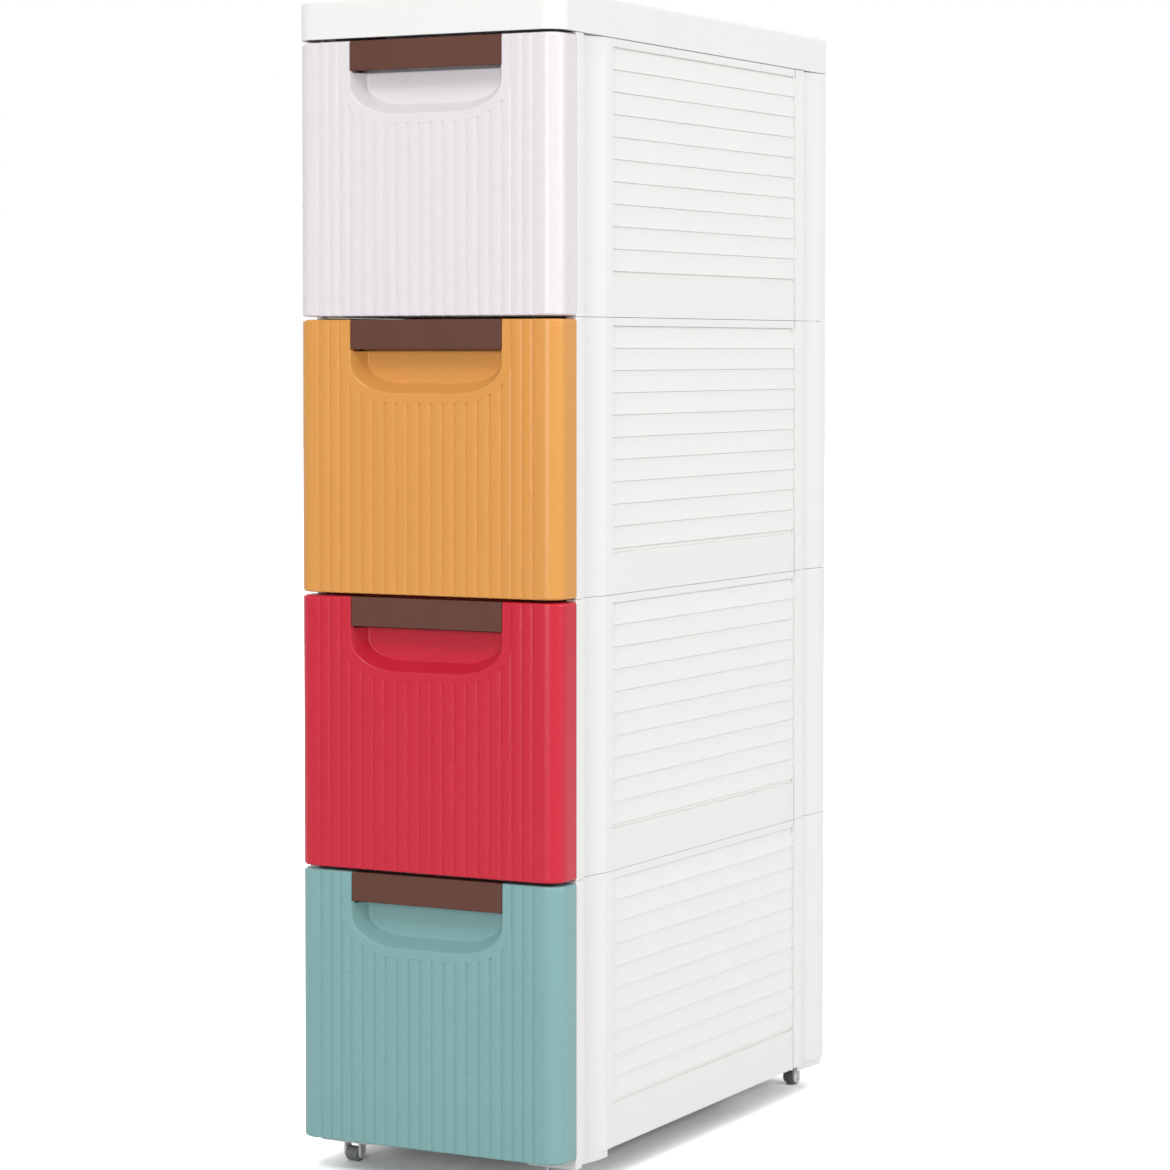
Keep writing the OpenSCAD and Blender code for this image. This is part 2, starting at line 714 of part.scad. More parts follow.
module caster_wheel(i) {
    tread_r = 1.2;   // rounding of the tread's edges
    half = wheel_w / 2;
    bore = axle_r + run_fit;
    color(wheel_grey) at_caster(i) rotate([0, 0, turn[i]]) translate([0, -trail, wheel_z]) rotate([0, 90, 0])
        rotate_extrude($fn = 64) {
            translate([bore, -half + tread_r]) square([wheel_r - bore, wheel_w - 2 * tread_r]);
            translate([bore, -half]) square([wheel_r - tread_r - bore, wheel_w]);
            for (y = [-1, 1]) translate([wheel_r - tread_r, y * (half - tread_r)]) circle(r = tread_r, $fn = 32);
        }
}

top_cover();
color(panel_white) left_panel(1);  // left_panel_1
color(panel_white) left_panel(2);  // left_panel_2
color(panel_white) left_panel(3);  // left_panel_3
color(panel_white) left_panel(4);  // left_panel_4
color(panel_white) right_panel(1);  // right_panel_1
color(panel_white) right_panel(2);  // right_panel_2
color(panel_white) right_panel(3);  // right_panel_3
color(panel_white) right_panel(4);  // right_panel_4
back_panel(1);  // back_panel_1
back_panel(2);  // back_panel_2
back_panel(3);  // back_panel_3
back_panel(4);  // back_panel_4
tier_frame(1);  // tier_frame_1
tier_frame(2);  // tier_frame_2
tier_frame(3);  // tier_frame_3
base_frame();
stacking_pins();
drawer_front(1);  // drawer_front_1
drawer_front(2);  // drawer_front_2
drawer_front(3);  // drawer_front_3
drawer_front(4);  // drawer_front_4
drawer_box(1);  // drawer_box_1
drawer_box(2);  // drawer_box_2
drawer_box(3);  // drawer_box_3
drawer_box(4);  // drawer_box_4
pull_bar(1);  // pull_bar_1
pull_bar(2);  // pull_bar_2
pull_bar(3);  // pull_bar_3
pull_bar(4);  // pull_bar_4
drawer_screws(1);  // drawer_screws_1
drawer_screws(2);  // drawer_screws_2
drawer_screws(3);  // drawer_screws_3
drawer_screws(4);  // drawer_screws_4
caster_fork(0);  // caster_fork_fl
caster_fork(1);  // caster_fork_fr
caster_fork(2);  // caster_fork_rl
caster_fork(3);  // caster_fork_rr
caster_axle(0);  // caster_axle_fl
caster_axle(1);  // caster_axle_fr
caster_axle(2);  // caster_axle_rl
caster_axle(3);  // caster_axle_rr
caster_wheel(0);  // caster_wheel_fl
caster_wheel(1);  // caster_wheel_fr
caster_wheel(2);  // caster_wheel_rl
caster_wheel(3);  // caster_wheel_rr
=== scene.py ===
# Slim plastic drawer tower: look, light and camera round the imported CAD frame.
# Lengths in the dictionaries are millimetres; t runs back from the plane of the drawer fronts.
import math
import bmesh
import bpy
from mathutils import Matrix, Vector


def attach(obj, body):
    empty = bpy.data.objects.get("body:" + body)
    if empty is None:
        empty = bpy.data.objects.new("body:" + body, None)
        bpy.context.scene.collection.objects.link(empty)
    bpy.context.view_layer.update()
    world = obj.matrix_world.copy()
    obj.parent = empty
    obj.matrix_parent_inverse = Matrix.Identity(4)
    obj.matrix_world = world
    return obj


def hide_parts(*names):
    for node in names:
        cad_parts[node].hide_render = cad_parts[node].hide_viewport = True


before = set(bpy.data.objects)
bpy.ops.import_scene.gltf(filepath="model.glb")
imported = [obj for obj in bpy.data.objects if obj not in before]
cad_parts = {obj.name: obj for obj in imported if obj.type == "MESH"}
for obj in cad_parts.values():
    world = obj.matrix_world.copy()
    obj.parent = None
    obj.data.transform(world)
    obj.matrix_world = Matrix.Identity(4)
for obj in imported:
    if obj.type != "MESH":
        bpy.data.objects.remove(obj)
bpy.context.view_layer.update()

bpy.context.scene.view_settings.view_transform = "Standard"


# What the pieces share
tower = dict(
    width=200.0, depth=425.0, tierHeight=185.0, baseZ=21.7, baseLip=1.7, seam=0.3,
    frontDepth=25.2, panelFront=25.6, panelThickness=7.5, frontLowGap=0.45, frontHeight=182.95,
)
halfWidth = tower["width"] / 2
hair = 0.04  # two cuts, or two joined solids, never share a wall
weldGap, sliver = 0.002, 0.001  # corners this close are one, and edges this short go


def yAt(t):
    return t - tower["depth"] / 2


def tierZ(tier):
    return tower["baseZ"] + (4 - tier) * tower["tierHeight"]


def metres(*point):
    return Vector(point) / 1000


# Small tools

def deselectAll():
    if bpy.context.object and bpy.context.object.mode == "EDIT":
        bpy.ops.object.mode_set(mode="OBJECT")
    bpy.ops.object.select_all(action="DESELECT")


def makeActive(piece):
    deselectAll()
    piece.select_set(True)
    bpy.context.view_layer.objects.active = piece


def settle(piece):
    makeActive(piece)
    bpy.ops.object.transform_apply(location=True, rotation=True, scale=True)
    return piece


def named(name):
    piece = bpy.context.object
    piece.name = piece.data.name = name
    return piece


def addBlock(name, low, high):
    deselectAll()
    bpy.ops.mesh.primitive_cube_add(size=1, location=(metres(*low) + metres(*high)) / 2)
    piece = named(name)
    piece.scale = metres(*high) - metres(*low)
    return settle(piece)


def addRod(name, start, end, radius, vertices=32):
    deselectAll()
    start, end = metres(*start), metres(*end)
    bpy.ops.mesh.primitive_cylinder_add(radius=radius / 1000, depth=(end - start).length, vertices=vertices)
    piece = named(name)
    turn = (end - start).to_track_quat("Z", "Y").to_matrix().to_4x4()
    piece.matrix_world = Matrix.Translation((start + end) / 2) @ turn
    return settle(piece)


def openEdit(piece):
    makeActive(piece)
    bpy.ops.object.mode_set(mode="EDIT")
    bpy.ops.mesh.select_mode(type="VERT")
    bpy.ops.mesh.select_all(action="DESELECT")


def pick(piece, kind, test):
    # Selects the faces, edges or corners that pass the test, and nothing else
    bpy.ops.mesh.select_mode(type=kind)
    bpy.ops.mesh.select_all(action="DESELECT")
    mesh = bmesh.from_edit_mesh(piece.data)
    for item in {"FACE": mesh.faces, "EDGE": mesh.edges, "VERT": mesh.verts}[kind]:
        if test(item):
            item.select_set(True)
    bmesh.update_edit_mesh(piece.data)


def closeEdit():
    bpy.ops.object.mode_set(mode="OBJECT")


def pickAll():
    bpy.ops.mesh.select_all(action="SELECT")


def sharp(edge):
    return edge.calc_face_angle(0) > 1


def middle(item):
    return 1000 * sum((v.co for v in item.verts), Vector()) / len(item.verts)


def along(edge, axis):
    line = (edge.verts[1].co - edge.verts[0].co).normalized()
    return abs(line[axis]) > 0.99


def near(value, target, slack=0.05):
    return abs(value - target) < slack


def levelAt(edge, z):
    return all(near(v.co.z * 1000, z) for v in edge.verts)


def grow(step):
    bpy.ops.mesh.extrude_region_move(TRANSFORM_OT_translate={"value": metres(*step)})


def drawLoop(points):
    # In edit mode: one vertex is drawn out from point to point, as a closed line, and left selected
    bpy.ops.mesh.select_mode(type="VERT")
    bpy.ops.mesh.primitive_plane_add(size=0.001, location=metres(*points[0]))
    bpy.ops.mesh.merge(type="CENTER")
    for last, point in zip(points, points[1:]):
        grow(Vector(point) - Vector(last))


def loft(name, loops):
    # Closed lines with the same number of points, bridged and capped
    deselectAll()
    bpy.ops.mesh.primitive_plane_add(size=0.001)
    piece = named(name)
    openEdit(piece)
    pickAll()
    bpy.ops.mesh.delete(type="VERT")
    for points in loops:
        bpy.ops.mesh.select_all(action="DESELECT")
        drawLoop(points)
    mesh = bmesh.from_edit_mesh(piece.data)
    mesh.verts.ensure_lookup_table()
    count = len(loops[0])
    rings = [list(mesh.verts)[i * count:(i + 1) * count] for i in range(len(loops))]
    for ring in rings:
        mesh.edges.new((ring[-1], ring[0]))
    bmesh.update_edit_mesh(piece.data)
    pickAll()
    if len(loops) > 1:
        bpy.ops.mesh.select_mode(type="EDGE")
        bpy.ops.mesh.bridge_edge_loops()
    closeEdit()
    openEdit(piece)
    pick(piece, "EDGE", lambda e: e.is_boundary or e.is_wire)
    bpy.ops.mesh.edge_face_add()
    pickAll()
    bpy.ops.mesh.normals_make_consistent(inside=False)
    closeEdit()
    return piece


def applyModifier(piece, kind, **settings):
    makeActive(piece)
    modifier = piece.modifiers.new(kind.title(), kind)
    for key, value in settings.items():
        setattr(modifier, key, value)
    bpy.ops.object.modifier_apply(modifier=modifier.name)
    return piece


def combine(piece, tools, operation="DIFFERENCE"):
    for tool in tools:
        applyModifier(piece, "BOOLEAN", object=tool, operation=operation, solver="EXACT")
        bpy.data.objects.remove(tool)
    return piece


def softEdges(piece, width, segments=2, angle=30):
    return applyModifier(
        piece, "BEVEL", width=width / 1000, segments=segments, limit_method="ANGLE", angle_limit=math.radians(angle),
        use_clamp_overlap=True, miter_outer="MITER_ARC", harden_normals=False)


def finishMesh(piece, angle=35):
    # Slivers of the cuts go, then the shading is made smooth up to the angle
    openEdit(piece)
    pickAll()
    bpy.ops.mesh.remove_doubles(threshold=weldGap / 1000)
    bpy.ops.mesh.dissolve_degenerate(threshold=sliver / 1000)
    closeEdit()
    makeActive(piece)
    bpy.ops.object.shade_smooth_by_angle(angle=math.radians(angle))
    return applyModifier(piece, "WEIGHTED_NORMAL", keep_sharp=True, weight=60)


def copyPiece(piece, name, move=(0, 0, 0), turn=0):
    # A copy with its own mesh, turned about the origin's upright and then moved
    makeActive(piece)
    bpy.ops.object.duplicate(linked=False)
    copied = named(name)
    copied.matrix_world = Matrix.Translation(metres(*move)) @ Matrix.Rotation(math.radians(turn), 4, "Z")
    return settle(copied)


def mirrorPiece(piece, name):
    makeActive(piece)
    bpy.ops.object.duplicate(linked=False)
    copied = named(name)
    copied.scale = (-1, 1, 1)
    settle(copied)
    openEdit(copied)
    pickAll()
    bpy.ops.mesh.normals_make_consistent(inside=False)
    closeEdit()
    return copied


def onEachTier(piece, name, count):
    # The piece of tier 1 and its copies further down
    return [piece] + [copyPiece(piece, f"{name}{n}", (0, 0, tierZ(n) - tierZ(1))) for n in range(2, count + 1)]


def place(piece, body, node, material):
    piece.data.materials.clear()
    piece.data.materials.append(material)
    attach(piece, body)
    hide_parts(node)


def dress(node, material):
    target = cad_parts[node]
    if not target.material_slots:
        target.data.materials.append(material)
    for each in target.material_slots:
        each.material = material


# Materials

def linearColour(hexCode):
    parts = [int(hexCode[i:i + 2], 16) / 255 for i in (1, 3, 5)]
    return tuple(p / 12.92 if p <= 0.04045 else ((p + 0.055) / 1.055) ** 2.4 for p in parts) + (1.0,)


def addNode(tree, kind, inputs=None, **settings):
    node = tree.nodes.new("ShaderNode" + kind)
    for key, value in settings.items():
        setattr(node, key, value)
    for key, value in (inputs or {}).items():
        if isinstance(value, bpy.types.NodeSocket):
            tree.links.new(value, node.inputs[key])
        else:
            node.inputs[key].default_value = value
    return node


def perMm(size):
    return 1000 / size  # Object coordinates are metres, so this many features a metre


def emptyMaterial(name):
    material = bpy.data.materials.new(name)
    material.use_nodes = True
    material.node_tree.nodes.clear()
    return material, material.node_tree


def mouldedPlastic(name, look):
    material, tree = emptyMaterial(name)
    where = addNode(tree, "TexCoord").outputs["Object"]
    # Uneven pigment, far larger than the grain
    cloud = addNode(tree, "TexNoise", {"Vector": where, "Scale": perMm(look["cloudMm"]), "Detail": 2.0,
                                       "Roughness": 0.5})
    # Melt runs up the wall, so the flow marks are drawn out along Z
    stretched = addNode(tree, "Mapping", {"Vector": where, "Scale": (1.0, 1.0, look["flowDraw"])})
    flow = addNode(tree, "TexNoise", {"Vector": stretched.outputs[0], "Scale": perMm(look["flowMm"]), "Detail": 1.0})
    mixed = addNode(tree, "Math", {0: cloud.outputs["Fac"], 1: flow.outputs["Fac"]}, operation="ADD")
    blend = addNode(tree, "MapRange", {"Value": mixed.outputs[0], "From Min": 0.7, "From Max": 1.3})
    colour = addNode(tree, "Mix", {0: blend.outputs[0], 6: linearColour(look["shade"]),
                                   7: linearColour(look["colour"])}, data_type="RGBA")
    # Gloss that comes and goes where the mould is polished and handled
    patch = addNode(tree, "TexNoise", {"Vector": where, "Scale": perMm(look["patchMm"]), "Detail": 3.0})
    rough = addNode(tree, "MapRange", {"Value": patch.outputs["Fac"], "From Min": 0.3, "From Max": 0.7,
                                       "To Min": look["rough"][0], "To Max": look["rough"][1]})
    # Spark-eroded mould grain; real grit is finer, this is as coarse as the render can show
    grain = addNode(tree, "TexNoise", {"Vector": where, "Scale": perMm(look["grainMm"]), "Detail": 2.0,
                                       "Roughness": 0.6})
    bump = addNode(tree, "Bump", {"Height": grain.outputs["Fac"], "Strength": look["grain"],
                                  "Distance": look["grainDepth"] / 1000})
    shader = addNode(tree, "BsdfPrincipled", {
        "Base Color": colour.outputs[2], "Roughness": rough.outputs[0], "Normal": bump.outputs[0],
        "IOR": look["ior"], "Specular IOR Level": look["specular"]})
    addNode(tree, "OutputMaterial", {"Surface": shader.outputs[0]})
    return material


# What all the mouldings share: sizes of the patterns in millimetres, then the bump's strength and depth
satin = dict(cloudMm=90, flowMm=14, flowDraw=0.12, patchMm=35, grainMm=0.9, grain=0.12, grainDepth=0.03,
             ior=1.49, specular=0.25)
looks = {
    # Polypropylene, injection moulded in a vapour-blasted mould: even, soft white with wide dull highlights
    "mouldedWhitePolypropylene": dict(satin, colour="#EEEEEC", shade="#EDEDEB", rough=(0.42, 0.52)),
    "mouldedBrightWhitePolypropylene": dict(satin, colour="#EEEEEC", shade="#EDEDEB", rough=(0.38, 0.46)),
    # The same plastic in a finer mould, with pigment: satin colour and a soft gleam on the rounded edges
    "mouldedLilacWhitePolypropylene": dict(satin, colour="#E4DFE3", shade="#E3DEE2", rough=(0.27, 0.29)),
    "mouldedOrangePolypropylene": dict(satin, colour="#DC9B50", shade="#DB9A4F", rough=(0.27, 0.29)),
    "mouldedRedPolypropylene": dict(satin, colour="#CA283C", shade="#C8273B", rough=(0.27, 0.29)),
    "mouldedTealPolypropylene": dict(satin, colour="#83ACAC", shade="#82ABAB", rough=(0.27, 0.29)),
    # Polystyrene handle bar from a matt mould: flat brown that hardly gleams
    "mouldedBrownPolystyrene": dict(satin, colour="#5D392E", shade="#5A372C", rough=(0.48, 0.58), ior=1.59,
                                    specular=0.2),
    # Nylon caster forks, injection moulded: slightly milky grey with a dry sheen
    "mouldedGreyNylon": dict(satin, colour="#DDDEDE", shade="#D2D4D4", rough=(0.40, 0.50), ior=1.53),
    # Polyethylene rollers, injection moulded: mid grey, dull and a little waxy
    "mouldedGreyPolyethylene": dict(satin, colour="#8C8D8E", shade="#7F8082", rough=(0.55, 0.70), ior=1.51,
                                    grain=0.25),
}
materials = {name: mouldedPlastic(name, look) for name, look in looks.items()}


# Zinc-plated steel, of cold-drawn wire: a cool shine, clouded by the crystals of the zinc
plating = dict(spangleMm=1.5, dark="#A9ABB0", light="#C6C8CC", rough=(0.22, 0.38), relief=0.15, reliefDepth=0.05)


def platedMetal(name, look):
    material, tree = emptyMaterial(name)
    where = addNode(tree, "TexCoord").outputs["Object"]
    spangle = addNode(tree, "TexNoise", {"Vector": where, "Scale": perMm(look["spangleMm"]), "Detail": 4.0})
    colour = addNode(tree, "Mix", {0: spangle.outputs["Fac"], 6: linearColour(look["dark"]),
                                   7: linearColour(look["light"])}, data_type="RGBA")
    rough = addNode(tree, "MapRange", {"Value": spangle.outputs["Fac"], "To Min": look["rough"][0],
                                       "To Max": look["rough"][1]})
    bump = addNode(tree, "Bump", {"Height": spangle.outputs["Fac"], "Strength": look["relief"],
                                  "Distance": look["reliefDepth"] / 1000})
    shader = addNode(tree, "BsdfPrincipled", {
        "Base Color": colour.outputs[2], "Metallic": 1.0, "Roughness": rough.outputs[0], "Normal": bump.outputs[0]})
    addNode(tree, "OutputMaterial", {"Surface": shader.outputs[0]})
    return material


materials["platedSteel"] = platedMetal("platedSteel", plating)
print("materials ready:", len(materials))

drawerMaterials = ["mouldedLilacWhitePolypropylene", "mouldedOrangePolypropylene",
                   "mouldedRedPolypropylene", "mouldedTealPolypropylene"]


# Cover

cover = dict(
    low=761.8, height=25.8, over=0.8, wall=3.0, cornerRadius=14.0, rearCorner=4.5, edgeRadius=2.0, skirtBreak=0.4,
    ribWidth=2.0, ribInset=4.85, ribStart=40.0, ribEnd=384.0, crossRibs=(106.25, 212.5, 318.75), crossRise=5.6,
    bossRadius=3.2, pinInset=3.0, pins=(31.1, 417.5), below=0.1, overlap=1.0,
)


def buildCover(shape):
    x, y = halfWidth + shape["over"], tower["depth"] / 2 + shape["over"]
    low, high = shape["low"], shape["low"] + shape["height"]
    piece = addBlock("coverCap", (-x, -y, low), (x, y, high))
    openEdit(piece)
    pick(piece, "EDGE", lambda e: along(e, 2) and middle(e).y < 0)
    bpy.ops.mesh.bevel(offset=shape["cornerRadius"] / 1000, segments=14, affect="EDGES")
    pick(piece, "EDGE", lambda e: along(e, 2) and middle(e).y > yAt(tower["depth"]))
    bpy.ops.mesh.bevel(offset=shape["rearCorner"] / 1000, segments=8, affect="EDGES")
    # Hollow underside
    pick(piece, "FACE", lambda f: f.normal.z < -0.9)
    bpy.ops.mesh.inset(thickness=shape["wall"] / 1000)
    grow((0, 0, shape["height"] - shape["wall"]))
    # Rounded top edge, and the fine break of the skirt's lower edge
    pick(piece, "EDGE", lambda e: levelAt(e, high) and sharp(e))
    bpy.ops.mesh.bevel(offset=shape["edgeRadius"] / 1000, segments=5, affect="EDGES")
    pick(piece, "EDGE", lambda e: levelAt(e, low) and sharp(e))
    bpy.ops.mesh.bevel(offset=shape["skirtBreak"] / 1000, segments=2, affect="EDGES")
    closeEdit()
    # Ribs and pin bosses under the top
    rib, foot, top = shape["ribWidth"], low - shape["below"], high - shape["wall"] + shape["overlap"]
    ribX = halfWidth - shape["ribInset"] - rib / 2
    tools = [addBlock("rib", (side * ribX - rib / 2, yAt(shape["ribStart"]), foot),
                      (side * ribX + rib / 2, yAt(shape["ribEnd"]), top)) for side in (-1, 1)]
    tools += [addBlock("rib", (-ribX, yAt(t), low + shape["crossRise"]), (ribX, yAt(t) + rib, top))
              for t in shape["crossRibs"]]
    pinX = halfWidth - shape["pinInset"]
    tools += [addRod("boss", (side * pinX, yAt(t), foot), (side * pinX, yAt(t), top), shape["bossRadius"])
              for side in (-1, 1) for t in shape["pins"]]
    combine(piece, tools, "UNION")
    return finishMesh(piece)


place(buildCover(cover), "cabinet", "top_cover", materials["mouldedBrightWhitePolypropylene"])
print("cover built")


# Side panels

panel = dict(
    frontBreak=0.6, lip=9.8, grooveLead=1.2, grooveDepth=4.1, grooveFloor=1.0, ramp=30.4, rampPower=1.7, flat=9.0,
    fieldStep=0.35, fieldLead=0.12, dipLength=11.0, dipDepth=0.55, slotDepth=1.2, slotWidth=1.1, slotLead=0.1,
    slotBreak=0.3, rearPost=40.4,
    rearCurve=((1.6, 0.2), (3.2, 0.4), (3.2, 3.5), (2.95, 6.0), (2.4, 10.0), (1.55, 16.0), (0.7, 22.0),
               (0.15, 27.0), (0.0, 30.0)),
    slatCount=10, slatPitch=14.87, slatTop=5.3, slatEnd=370.0, slatDepth=1.7, topDepth=2.9, slatDraft=0.22,
    sillHeight=3.0, sillDepth=2.3, sillLip=0.3, edgeRadius=2.0, softening=0.3,
    skin=2.2, cellStart=77.0, cellEnd=380.6, cellRib=2.4, cellLow=19.0, cellTop=7.0,
    housing=2.5, housingStart=24.6, housingHeight=12.1, backSlot=416.2, backThickness=2.8, slack=0.1,
)


def panelLine(shape):
    # [inset from the outer plane, t] down the outer face, from the front edge to the back edge
    front = tower["panelFront"]
    lipEnd = front + shape["lip"]
    floorStart = lipEnd + shape["grooveLead"]
    rampStart = floorStart + shape["grooveFloor"]
    flatStart = rampStart + shape["ramp"]
    fieldStart = flatStart + shape["flat"]
    rearStart = tower["depth"] - shape["rearPost"]
    line = [(shape["frontBreak"], front), (0, front + shape["frontBreak"]), (0, lipEnd)]
    line += [(shape["grooveDepth"], floorStart)]
    steps = 14
    line += [(shape["grooveDepth"] * (1 - (i / steps) ** shape["rampPower"]), rampStart + shape["ramp"] * i / steps)
             for i in range(steps + 1)]
    step, end = shape["fieldStep"], shape["slatEnd"]
    line += [(0, fieldStart), (step, fieldStart + shape["fieldLead"])]
    # The field dips a little before its rear edge, where a narrow slot closes it off
    steps = 5
    line += [(step + shape["dipDepth"] * (1 - math.cos(math.pi / 2 * i / steps)),
              end - shape["dipLength"] * (1 - i / steps)) for i in range(steps + 1)]
    floor, lead = step + shape["dipDepth"] + shape["slotDepth"], shape["slotLead"]
    line += [(floor, end + lead), (floor, end + lead + shape["slotWidth"])]
    line += [(step + shape["slotBreak"], end + 2 * lead + shape["slotWidth"]), (step, rearStart)]
    # Rear post: a crease, then a slow slope out to the outer plane
    line += [(inset, rearStart + t) for inset, t in shape["rearCurve"]]
    r = shape["edgeRadius"]
    for degrees in range(15, 91, 15):
        turn = math.radians(degrees)
        line += [(r * (1 - math.cos(turn)), tower["depth"] - r * (1 - math.sin(turn)))]
    return line


def buildPanel(name, shape, low, high):
    line = panelLine(shape)
    inner = halfWidth - tower["panelThickness"]
    points = [(halfWidth - inset, yAt(t), low) for inset, t in line]
    points += [(inner, yAt(tower["depth"]), low), (inner, yAt(tower["panelFront"]), low)]
    piece = loft(name, [points])
    # Stations up the panel: flush above each ledge, sunk below it
    slatLow = high - shape["slatTop"] - shape["slatCount"] * shape["slatPitch"]
    sill = slatLow - shape["sillHeight"]
    stations = [(sill, 0), (sill + shape["sillLip"], shape["sillDepth"]),
                (slatLow - shape["slatDraft"], shape["sillDepth"]), (slatLow, 0)]
    for i in range(1, shape["slatCount"] + 1):
        z = slatLow + i * shape["slatPitch"]
        depth = shape["topDepth"] if i == shape["slatCount"] else shape["slatDepth"]
        stations += [(z - shape["slatDraft"], depth), (z, 0)]
    stations += [(high, 0)]
    openEdit(piece)
    bpy.ops.mesh.select_mode(type="FACE")
    pickAll()
    at = low
    for z, sunk in stations:
        grow((0, 0, z - at))
        at = z
    # The slats' upper edges and the sill's floor are pushed in
    fieldStart = yAt(min(t for inset, t in line if near(inset, shape["fieldStep"], 0.001))) - 0.01
    fieldEnd = yAt(shape["slatEnd"]) + 0.05
    for z, sunk in stations:
        if sunk:
            pick(piece, "VERT", lambda v: near(v.co.z * 1000, z, 0.02) and v.co.x * 1000 > inner + 1
                 and fieldStart < v.co.y * 1000 < fieldEnd)
            bpy.ops.transform.translate(value=metres(-sunk, 0, 0))
    pickAll()
    bpy.ops.mesh.normals_make_consistent(inside=False)
    closeEdit()
    softEdges(piece, shape["softening"], 2, 24)
    # Inner face: three hollows between the ribs, and the housings of the frame and the back panel
    datum, over = high + tower["seam"] - tower["tierHeight"], 1
    length = (shape["cellEnd"] - shape["cellStart"] - 2 * shape["cellRib"]) / 3
    pocket = halfWidth - shape["fieldStep"] - shape["slatDepth"] - shape["skin"]
    tools = []
    for i in range(3):
        start = shape["cellStart"] + i * (length + shape["cellRib"])
        tools += [addBlock("hollow", (inner - over, yAt(start), datum + shape["cellLow"]),
                           (pocket, yAt(start + length), high - shape["cellTop"]))]
    slotStart, depth = shape["backSlot"] - shape["slack"], inner + shape["housing"]
    slotEnd = shape["backSlot"] + shape["backThickness"] + shape["slack"]
    tools += [addBlock("housing", (inner - over, yAt(shape["housingStart"]), low - over),
                       (depth, yAt(slotStart), datum + shape["housingHeight"])),
              addBlock("slot", (inner - over, yAt(slotStart), low - over), (depth, yAt(slotEnd), high + over))]
    combine(piece, tools)
    return finishMesh(piece)


def panelTop(tier):
    return tierZ(tier) + tower["tierHeight"] - tower["seam"]


upperPanel = buildPanel("rightPanel1", panel, tierZ(1), panelTop(1))
lowPanel = buildPanel("rightPanel4", panel, tierZ(4) - tower["baseLip"], panelTop(4))
rightPanels = onEachTier(upperPanel, "rightPanel", 3) + [lowPanel]
leftPanels = [mirrorPiece(each, each.name.replace("right", "left")) for each in rightPanels]
for tier in range(1, 5):
    for side, pieces in (("right", rightPanels), ("left", leftPanels)):
        place(pieces[tier - 1], "cabinet", f"{side}_panel_{tier}", materials["mouldedWhitePolypropylene"])
print("side panels built")


# Drawer fronts

front = dict(
    cornerRadius=12.0, edgeRadius=1.9, wall=2.5, bandDepth=0.3, rimSide=7.0, rimLow=6.0,
    ribPitch=8.9, ribSpan=13, sidePitch=7.88, sideRibs=3, sideReach=4.4, runOut=1.8, grooveHalf=0.85,
    grooveDepth=1.15, ribCrown=0.5, handleHeight=49.4, cornerWidth=36.0, cornerHeight=20.5, rimRound=0.9,
    shoulderRound=2.6, recessDepth=12.3, lean=7.0, fillet=1.8, gripWall=2.2, lipDrop=1.2,
    barHeight=20.0, seat=0.6, cheek=12.0, cheekEnd=13.4, boxFront=19.0, bossX=76.0, bossLow=32.0, bossHigh=128.0,
    bossRadius=4.0, pilotStart=7.0, pilotRadius=1.3,
)
handleHalf = front["ribPitch"] * front["ribSpan"] / 2


def handleArc(shape, growth):
    # Right half of the handle's outline from the middle of its foot up; growth widens it
    top, a, b = tower["frontHeight"], shape["cornerWidth"], shape["cornerHeight"]
    steps = 16
    return [(handleHalf - a + (a + growth) * math.sin(math.pi / 2 * i / steps),
             top - shape["handleHeight"] + b - (b + growth) * math.cos(math.pi / 2 * i / steps))
            for i in range(steps + 1)]


def screwPlaces(shape):
    return [(x, h) for x in (-shape["bossX"], shape["bossX"]) for h in (shape["bossLow"], shape["bossHigh"])]


def mirrored(half):
    return half + [(-x, z) for x, z in reversed(half)]


def atDepth(outline, t, z):
    return [(x, yAt(t), z + h) for x, h in outline]


